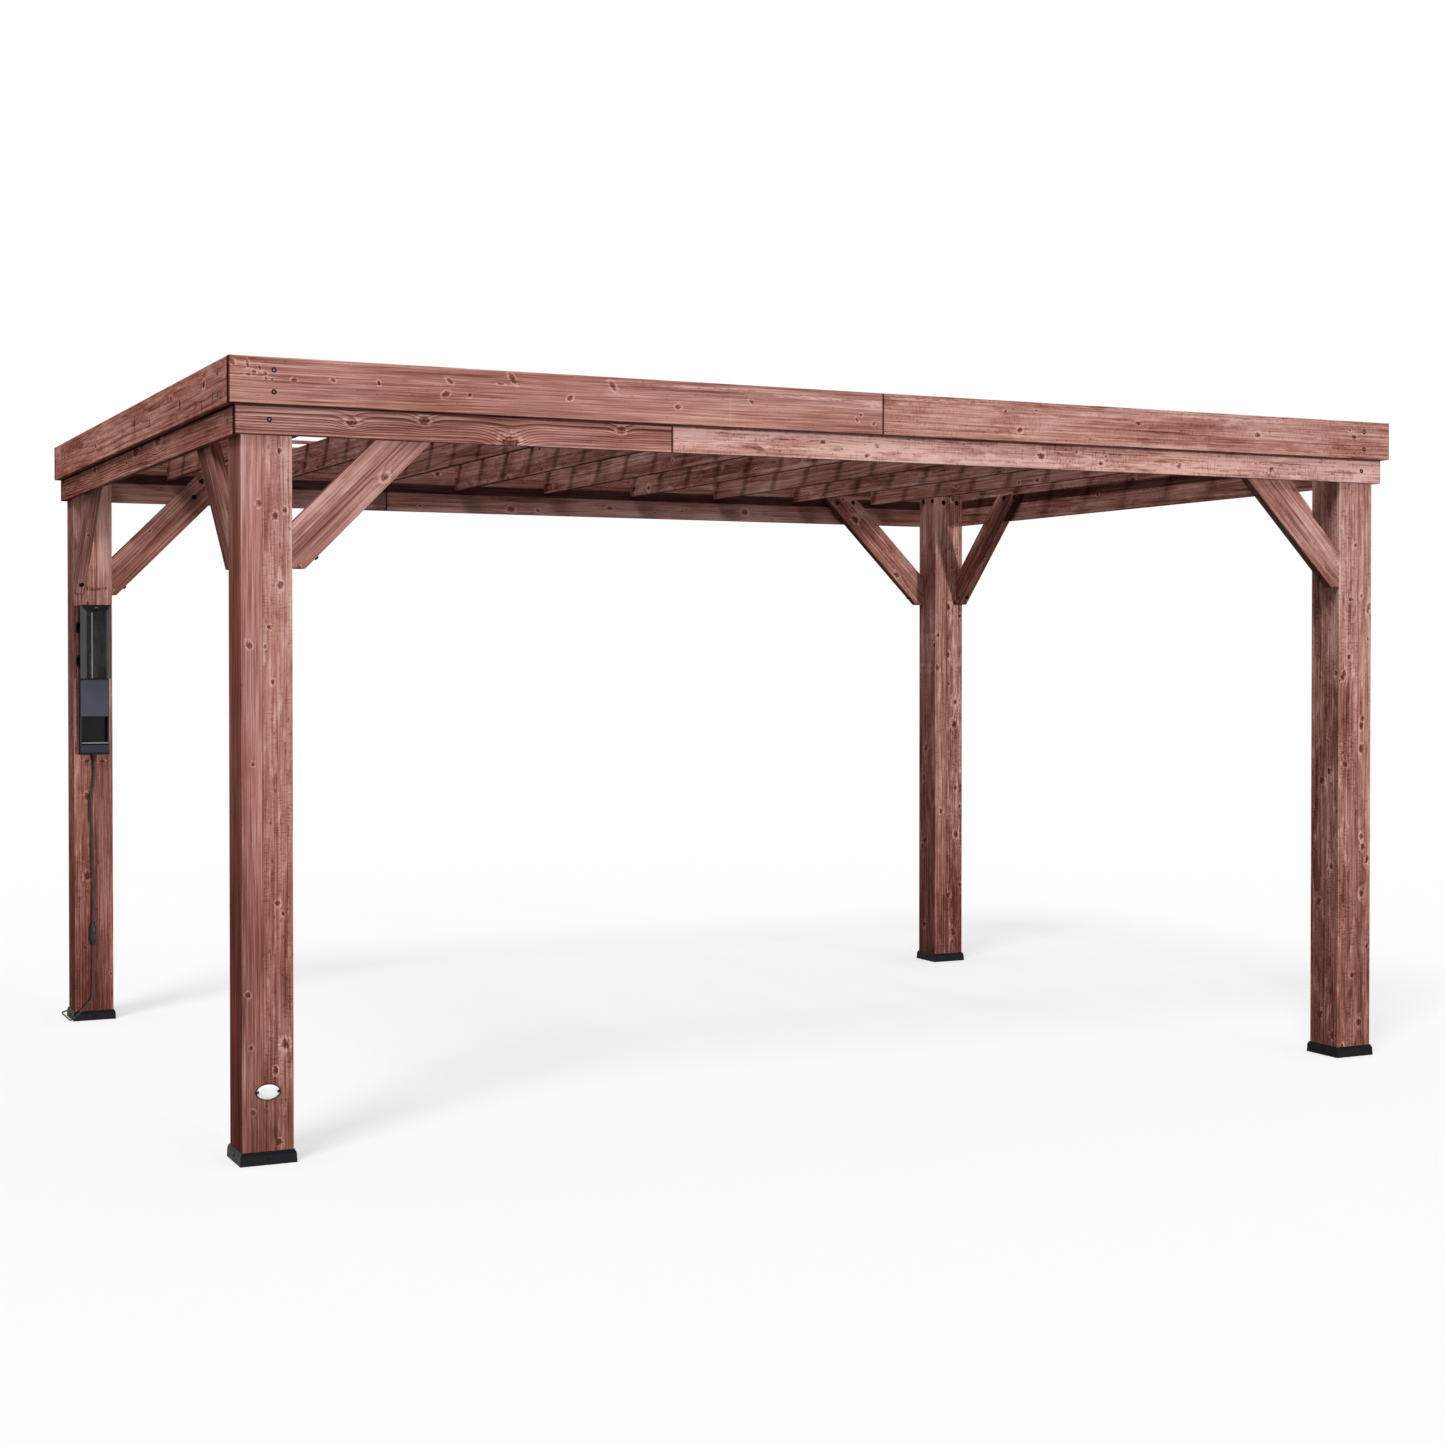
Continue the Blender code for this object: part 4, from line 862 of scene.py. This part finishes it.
BADGE_RIM = ((1.0, -0.0004), (1.0, 0.0012), (0.975, 0.0019), (0.90, 0.0019), (0.875, 0.0010))
BADGE_PLATE = ((0.895, 0.0004), (0.89, 0.0012), (0.86, 0.0015), (0.5, 0.0018))
oval("badge_rim", BADGE_RIM, enamelled("badge_green", (0.012, 0.020, 0.017, 1), shine=0.12))
oval("badge_plate", BADGE_PLATE, enamelled("badge_paint", (0.84, 0.87, 0.85, 1)))
SMALL_HEAD = [(radius * 0.54, height * 0.6) for radius, height in SCREW_HEAD]
BADGE_SCREW_OUT, BADGE_SCREW_HIGH = 0.0288, 0.0022
heads = bmesh.new()
for way in (-1, 1):
    spot = (BADGE_X + way * BADGE_SCREW_OUT, POST_FACE_Y - BADGE_SCREW_HIGH, BADGE_Z)
    turned(heads, SMALL_HEAD, spot, -Y, lobes=(5, 6))
piece("badge_screws", heads, screw_steel)

# ----------------------------------------
# Power unit
# A moulded case is screwed to the rear-left post. It has three outlets behind
# a smoked cover hinged on its left, a slate-coloured plate below, and an open
# pocket for a phone with a rounded lip at its foot.
# ----------------------------------------
UNIT_BLACK, UNIT_SLATE = (0.0045, 0.0042, 0.0056, 1), (0.034, 0.036, 0.048, 1)
LIP_HIGH, LIP_DEEP = 0.0476, 0.044
low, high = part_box("power_box")
pocket_foot, lip_front = low[2] + LIP_HIGH, high[1] - LIP_DEEP
fore = (lip_front + 0.012, pocket_foot + 0.096, UNIT_SLATE)
finish_node("power_box", moulded("unit_case", UNIT_BLACK, gloss=0.50, fore=fore))
finish_node("outlet_panel", moulded("unit_black", UNIT_BLACK, gloss=0.50))
finish_node("power_plate", moulded("plate_slate", (0.054, 0.058, 0.080, 1), gloss=0.40, grain=3200, dust=0.12))

# the smoked cover is clear in front; its chamfered sides are rougher and painted milky, a painted sheen of
# reflected light, and its ridge is painted pale, a painted highlight
SMOKE_DARK, SMOKE_PALE = (0.005, 0.0055, 0.005, 1), (0.012, 0.013, 0.012, 1)
PAINTED_SHEEN_DARK, PAINTED_SHEEN_PALE = (0.076, 0.079, 0.074, 1), (0.118, 0.122, 0.115, 1)
RIDGE_PAINTED_HIGHLIGHT, RIDGE_DEEP = (0.26, 0.28, 0.26, 1), 0.0006
low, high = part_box("power_cover")
made, tree, surface = new_finish("smoked_cover")
slanting = fade(tree, sums(tree, "ABSOLUTE", looks_to(tree, X)), 0.35, 0.55)
sides_painted_sheen = sums(tree, "MULTIPLY", slanting, sums(tree, "LESS_THAN", looks_to(tree, Y), -0.3))
ridge_painted_highlight = sums(tree, "LESS_THAN", parts(tree, here(tree))[1], low[1] + RIDGE_DEEP)
smear = patches(tree, here(tree), (26, 26, 9), 4)
clear, painted_sheen = paint(tree, smear, SMOKE_DARK, SMOKE_PALE), paint(tree, smear, PAINTED_SHEEN_DARK, PAINTED_SHEEN_PALE)
colour = paint(tree, ridge_painted_highlight, paint(tree, sides_painted_sheen, clear, painted_sheen), RIDGE_PAINTED_HIGHLIGHT)
tree.links.new(colour, surface.inputs["Base Color"])
dull = sums(tree, "MULTIPLY_ADD", fade(tree, smear, 0.4, 0.7), 0.06, 0.10)
tree.links.new(sums(tree, "MULTIPLY_ADD", sides_painted_sheen, 0.32, dull), surface.inputs["Roughness"])
solid = sums(tree, "MULTIPLY_ADD", sums(tree, "MAXIMUM", sides_painted_sheen, ridge_painted_highlight), 0.24, 0.66)
tree.links.new(solid, surface.inputs["Alpha"])
surface.inputs["Specular IOR Level"].default_value = 0.12
finish_node("power_cover", made)


def bow(shape, middle, along, out, reach, thick, steps=14, sides=10):
    """A half ring of round rod that stands on the surface with both its ends sunk in it."""
    rows = []
    for step in range(steps + 1):
        turn = math.pi * step / steps
        arm = (along * math.cos(turn) + out * math.sin(turn)).normalized()
        offs = [arm * math.cos(angle) + along.cross(out) * math.sin(angle) for angle in circle(sides)]
        rows.append([shape.verts.new(middle + arm * reach + off * thick) for off in offs])
    skin(shape, rows)


# a ring on the sloping top of the cover, to lift it by
COVER_SLOPE = Vector((0, -0.028, 0.019)).normalized()
RING_REACH, RING_ROD, RING_IN, RING_DOWN = 0.0058, 0.0014, 0.0115, 0.0145
panel_low, panel_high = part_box("outlet_panel")
panel_x, panel_z = (panel_low[0] + panel_high[0]) / 2, (panel_low[2] + panel_high[2]) / 2
panel_front = panel_low[1]
ring = bmesh.new()
ring_middle = Vector((panel_x, low[1] + RING_IN, high[2] - RING_DOWN))
bow(ring, ring_middle, X, COVER_SLOPE, RING_REACH, RING_ROD)
piece("cover_ring", ring, coated_steel("ring_steel", (0.19, 0.195, 0.19, 1), metal=0.3), "cover")


def rounded(wide, high, corner, steps=6):
    """The outline of a rounded rectangle about its middle."""
    spots = []
    for sx, sz, first in ((1, 1, 0), (-1, 1, 90), (-1, -1, 180), (1, -1, 270)):
        for step in range(steps + 1):
            angle = math.radians(first + 90 * step / steps)
            u, v = sx * (wide / 2 - corner), sz * (high / 2 - corner)
            spots.append((u + corner * math.cos(angle), v + corner * math.sin(angle)))
    return spots


def slab(shape, outline, x, z, front, back, edge=0.0006):
    """A closed slab of that outline facing the front, with a small bevel round its face."""
    rows = []
    for share, depth in ((0, back), (0, front + edge), (1, front)):
        cuts = [1 - share * edge / math.hypot(u, v) for u, v in outline]
        rows.append([shape.verts.new((x + u * cut, depth, z + v * cut)) for (u, v), cut in zip(outline, cuts)])
    skin(shape, rows)


# three outlets, each with two upright slots and a round hole below them, drawn as black slabs on the face:
# painted shade for the dark inside of the holes
OUTLET_PITCH, OUTLET_SUNK = 0.074, 0.003
OUTLET_FACE = rounded(0.0315, 0.0435, 0.006)
SLOTS = (
    (-0.0064, 0.004, rounded(0.0021, 0.0085, 0.0009, 3)), (0.0064, 0.004, rounded(0.0021, 0.0072, 0.0009, 3)),
    (0.0, -0.0085, rounded(0.0050, 0.0050, 0.0024, 5)),
)
outlets, painted_slot_shades = bmesh.new(), bmesh.new()
for step in (-1, 0, 1):
    z = panel_z + step * OUTLET_PITCH
    slab(outlets, OUTLET_FACE, panel_x, z, panel_front + 0.0006, panel_front + OUTLET_SUNK + 0.0004)
    for across, up, outline in SLOTS:
        slab(painted_slot_shades, outline, panel_x + across, z + up, panel_front + 0.00035, panel_front + 0.0012, 0.0001)
piece("outlet_faces", outlets, moulded("outlet_grey", (0.036, 0.037, 0.040, 1), gloss=0.42, dust=0.1))
painted_shade_black = moulded("painted_shade_black", (0.004, 0.004, 0.004, 1), gloss=0.7, dust=0.05)
piece("outlet_slot_painted_shades", painted_slot_shades, painted_shade_black)

# a raised bar along the pocket's lip, painted pale grey as a painted highlight where the lip's edge catches the
# light, with a black strip under it as painted shade in the groove there
BAR_OUTLINE, BAR_DOWN, BAR_PROUD = rounded(0.098, 0.0050, 0.0022), 0.0027, 0.0016
SHADE_STRIP_OUTLINE, SHADE_STRIP_DOWN, SHADE_STRIP_PROUD = rounded(0.104, 0.0052, 0.0020), 0.0080, 0.0006
highlight_bar, seam = bmesh.new(), bmesh.new()
sunk = lip_front + 0.001
slab(highlight_bar, BAR_OUTLINE, panel_x, pocket_foot - BAR_DOWN, lip_front - BAR_PROUD, sunk)
slab(seam, SHADE_STRIP_OUTLINE, panel_x, pocket_foot - SHADE_STRIP_DOWN, lip_front - SHADE_STRIP_PROUD, sunk, 0.0001)
piece("pocket_bar", highlight_bar, moulded("bar_painted_highlight", (0.21, 0.215, 0.235, 1), gloss=0.35, dust=0.1))
piece("pocket_painted_shade", seam, painted_shade_black)

# ----------------------------------------
# Supply lead
# A rubber lead leaves the case through a ribbed gland and hangs down the post
# to an in-line connector. A thinner lead goes on from there to the ground,
# round the skirt, and is coiled behind the post with its plug.
# ----------------------------------------
UPPER_DIAMETER, LOWER_DIAMETER = 0.009, 0.006
UPPER_ROUTE = (
    (-1.8984, 1.2544, 0.9885), (-1.8994, 1.2544, 0.9276), (-1.9114, 1.2504, 0.8302), (-1.9084, 1.2504, 0.7328),
    (-1.9054, 1.2524, 0.6171), (-1.9044, 1.2544, 0.5014), (-1.9044, 1.2544, 0.3796),
)
LOWER_ROUTE = (
    (-1.9044, 1.2544, 0.2875), (-1.9044, 1.2534, 0.2350), (-1.9054, 1.2524, 0.1800), (-1.9044, 1.2509, 0.1100),
    (-1.9063, 1.2504, 0.0959), (-1.9118, 1.2504, 0.0819), (-1.9206, 1.2504, 0.0703), (-1.9672, 1.2497, 0.0232),
    (-1.9748, 1.2519, 0.0156), (-1.9812, 1.2581, 0.0092), (-1.9857, 1.2671, 0.0047), (-1.9871, 1.2777, 0.0033),
    (-1.9871, 1.3384, 0.0033), (-1.9871, 1.4094, 0.0033),
)
COIL_X, COIL_Y, COIL_OUTER = -1.905, 1.496, 0.0453


def smooth_run(spots, steps):
    """Points on a smooth curve through the spots, evenly spaced along it."""
    spots = [Vector(spot) for spot in spots]
    ends = [2 * spots[0] - spots[1], *spots, 2 * spots[-1] - spots[-2]]
    fine = []
    for a, b, c, d in zip(ends, ends[1:], ends[2:], ends[3:]):
        for step in range(20):
            t = step / 20
            bent = (2 * a - 5 * b + 4 * c - d) * t**2 + (3 * b - a - 3 * c + d) * t**3
            fine.append(0.5 * (2 * b + (c - a) * t + bent))
    fine.append(spots[-1])
    far = [0.0]
    for first, second in zip(fine, fine[1:]):
        far.append(far[-1] + (second - first).length)
    run = []
    for step in range(steps):
        want = far[-1] * step / (steps - 1)
        i = max(k for k in range(len(far) - 1) if far[k] <= want)
        run.append(fine[i].lerp(fine[i + 1], (want - far[i]) / (far[i + 1] - far[i])))
    return run


def rubber(name, colour, gloss=0.46):
    """Rubber sheath: satin, dusty, with a slight lengthwise unevenness."""
    made, tree, surface = new_finish(name)
    dust = patchy(tree, here(tree), (90, 90, 40), 3, 0.40, 0.75)
    fine = patches(tree, here(tree), 1800, 1)
    shade = paint(tree, dust, colour, paler(colour, 1.8, 0.015))
    gloss = sums(tree, "MULTIPLY_ADD", dust, 0.18, gloss)
    surfaced(tree, surface, shade, gloss, fine, strength=0.2, height=0.00015, shine=0.3)
    return made


lead_rubber = rubber("lead_rubber", (0.020, 0.020, 0.024, 1))
moulded_rubber = rubber("moulded_rubber", (0.012, 0.012, 0.014, 1), gloss=0.42)


def lead(name, run, diameter, *nodes):
    """A round lead along the run, in place of its solids."""
    curve = bpy.data.curves.new(name, "CURVE")
    curve.dimensions, curve.use_fill_caps = "3D", True
    curve.bevel_depth, curve.bevel_resolution = diameter / 2, 5
    line = curve.splines.new("POLY")
    line.points.add(len(run) - 1)
    for point, spot in zip(line.points, run):
        point.co = (*spot, 1)
    curve.materials.append(lead_rubber)
    obj = bpy.data.objects.new(name, curve)
    bpy.context.scene.collection.objects.link(obj)
    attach(obj, "frame")
    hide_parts(*nodes)
    return obj


# the coil is wound flat on the ground from the outside in, climbs at its middle
# and comes out again on top, crossing over the lead that comes in: each move is
# (turned by from, to, outward, up)
ENTRY = math.radians(126.5)
MOVES = (
    (0, 46, -0.0063, 0), (306, 406, -0.006, 0), (666, 766, -0.006, 0), (1010, 1080, 0, 0.006),
    (1280, 1380, 0.006, 0), (1640, 1740, 0.006, 0), (2000, 2100, 0.0063, 0),
)


def on_coil(turned_by):
    radius, height = COIL_OUTER, LOWER_ROUTE[-1][2]
    for first, last, out, up in MOVES:
        share = min(max((turned_by - first) / (last - first), 0), 1)
        share = (1 - math.cos(math.pi * share)) / 2
        radius += out * share
        height += up * share
    angle = ENTRY - math.radians(turned_by)
    return Vector((COIL_X + radius * math.cos(angle), COIL_Y + radius * math.sin(angle), height))


ARC, ARC_START_Y = 0.07609, 1.4594
ARC_TURNS = [math.radians(turn) for turn in (0, 18.45, 36.9, 55.35, 73.8)]
start_x, _, on_ground = LOWER_ROUTE[-1]
into_coil = [
    (start_x + ARC * (1 - math.cos(turn)), ARC_START_Y + ARC * math.sin(turn), on_ground) for turn in ARC_TURNS
]
out_of_coil = [
    Vector((COIL_X, COIL_Y + COIL_OUTER, 0.0096)), Vector((COIL_X + 0.006, COIL_Y + COIL_OUTER, 0.0116)),
]
upper_run = smooth_run(UPPER_ROUTE, 24)
down_run = smooth_run((*LOWER_ROUTE, *into_coil), 40)
lower_run = [*down_run, *(on_coil(turn) for turn in range(12, 2196, 15)), *out_of_coil]
upper = lead("supply_lead_upper", upper_run, UPPER_DIAMETER, "cord_upper")
lower = lead("supply_lead_lower", lower_run, LOWER_DIAMETER, "cord_lower", "cord_coil")

# gland, connector and plug are moulded on the lead
RIB = ((0, 0), (0.0004, 0.0012), (0, 0.0024), (-0.001, 0.0028), (-0.001, 0.0034))
GLAND = [(0, -0.012), (0.0050, -0.012), (0.0058, -0.0113)]
for rib in range(5):
    z, r = -0.0105 + rib * 0.0038, 0.0060 + rib * 0.00042
    GLAND += [(r + out, z + up) for out, up in RIB]
GLAND += [(0.0080, 0.0088), (0.0080, 0.0120), (0, 0.0120)]
shape = bmesh.new()
turned(shape, GLAND, middle_of("cord_gland"), Z, sides=28)
gland = piece("lead_gland", shape, moulded_rubber)
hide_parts("cord_gland")

CONNECTOR_HALF = [
    (0.0052, 0.0), (0.0066, 0.003), (0.0060, 0.0042), (0.0070, 0.0072), (0.0064, 0.0084), (0.0078, 0.0114),
    (0.0072, 0.0126), (0.0092, 0.0160), (0.0112, 0.0215), (0.0123, 0.0270), (0.0123, 0.0425), (0.0113, 0.0437),
]
low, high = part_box("cord_connector")
half = (high[2] - low[2]) / 2
CONNECTOR = [(0, -half)] + [(r, z - half) for r, z in CONNECTOR_HALF] + [(0.0113, 0.0)]
CONNECTOR += [(r, half - z) for r, z in reversed(CONNECTOR_HALF)] + [(0, half)]
shape = bmesh.new()
turned(shape, CONNECTOR, middle_of("cord_connector"), Z, sides=32)
connector = piece("lead_connector", shape, moulded_rubber)
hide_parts("cord_connector")

finish_node("cord_plug", moulded_rubber)

# ----------------------------------------
# Studio
# A pale floor that keeps the shadow and runs out to white, a white backdrop,
# a lamp level with the roof in front, one overhead, and plain fill all round.
# ----------------------------------------
FLOOR_REACH, FLOOR_GREY, FLOOR_BOUNCE, FLOOR_LIFT = 60.0, 0.62, 0.09, 0.56
WHITE_FROM, WHITE_BY = 6.5, 11.0
FILL = 0.38
LAMPS = {
    "front_lamp": (1.75, 5, (-0.30, 0.95, -0.03)),
    "overhead_lamp": (1.2, 18, (0.46, 0.45, -0.77)),
}


def grey(level):
    return (level, level, level, 1)


def seen_directly(tree):
    """1 for what the camera sees, straight, in a gloss or through something clear."""
    path = add(tree, "LightPath").outputs
    both = sums(tree, "ADD", path["Is Camera Ray"], path["Is Glossy Ray"])
    return sums(tree, "MINIMUM", sums(tree, "ADD", both, path["Is Transmission Ray"]), 1)


floor_made = bpy.data.materials.new("floor_white")
floor_made.use_nodes = True
tree = floor_made.node_tree
tree.nodes.clear()
seen = seen_directly(tree)
far = vectors(tree, "LENGTH", here(tree))
beyond = sums(tree, "MULTIPLY", fade(tree, far, WHITE_FROM, WHITE_BY), seen)
mat = add(tree, "BsdfDiffuse", {"Color": paint(tree, seen, grey(FLOOR_BOUNCE), grey(FLOOR_GREY))})
lift = add(tree, "Emission", {"Color": grey(1), "Strength": sums(tree, "MULTIPLY", seen, FLOOR_LIFT)})
lit = add(tree, "AddShader", {0: mat.outputs[0], 1: lift.outputs[0]})
white = add(tree, "Emission", {"Color": grey(1), "Strength": 1.0})
both = add(tree, "MixShader", {0: beyond, 1: lit.outputs[0], 2: white.outputs[0]})
add(tree, "OutputMaterial", {"Surface": both.outputs[0]})
shape = bmesh.new()
bmesh.ops.create_grid(shape, x_segments=1, y_segments=1, size=FLOOR_REACH)
mesh = bpy.data.meshes.new("floor")
shape.to_mesh(mesh)
shape.free()
mesh.materials.append(floor_made)
floor = bpy.data.objects.new("floor", mesh)
bpy.context.scene.collection.objects.link(floor)

world = bpy.data.worlds.new("studio")
world.use_nodes = True
tree = world.node_tree
tree.nodes.clear()
air = paint(tree, seen_directly(tree), grey(FILL), grey(1))
sky = add(tree, "Background", {"Color": air, "Strength": 1.0})
add(tree, "OutputWorld", {"Surface": sky.outputs[0]})
bpy.context.scene.world = world

for name, (strength, spread, way) in LAMPS.items():
    light = bpy.data.lights.new(name, "SUN")
    light.energy, light.angle = strength, math.radians(spread)
    lamp = bpy.data.objects.new(name, light)
    lamp.rotation_euler = Vector(way).to_track_quat("-Z", "Y").to_euler()
    lamp.location = Vector((0, 0, 2)) - Vector(way) * 8
    bpy.context.scene.collection.objects.link(lamp)

# ----------------------------------------
# Camera
# It stands at chest height off the front-left corner, some six metres from
# the post there, and looks across the front with a slightly long lens.
# ----------------------------------------
CAMERA_SPOT = (-3.38167, -7.36058, 1.37606)
LENS, LENS_SHIFT, LOOKING_DOWN, TURNED_RIGHT = 55.13, -0.0229, 0.01377, 0.44729
lens = bpy.data.cameras.new("camera")
lens.sensor_width, lens.sensor_fit, lens.lens = 36.0, "HORIZONTAL", LENS
lens.shift_y = LENS_SHIFT
camera = bpy.data.objects.new("camera", lens)
camera.location = CAMERA_SPOT
camera.rotation_euler = (math.pi / 2 - LOOKING_DOWN, 0, -TURNED_RIGHT)
bpy.context.scene.collection.objects.link(camera)
bpy.context.scene.camera = camera
bpy.context.scene.view_settings.view_transform = "Standard"
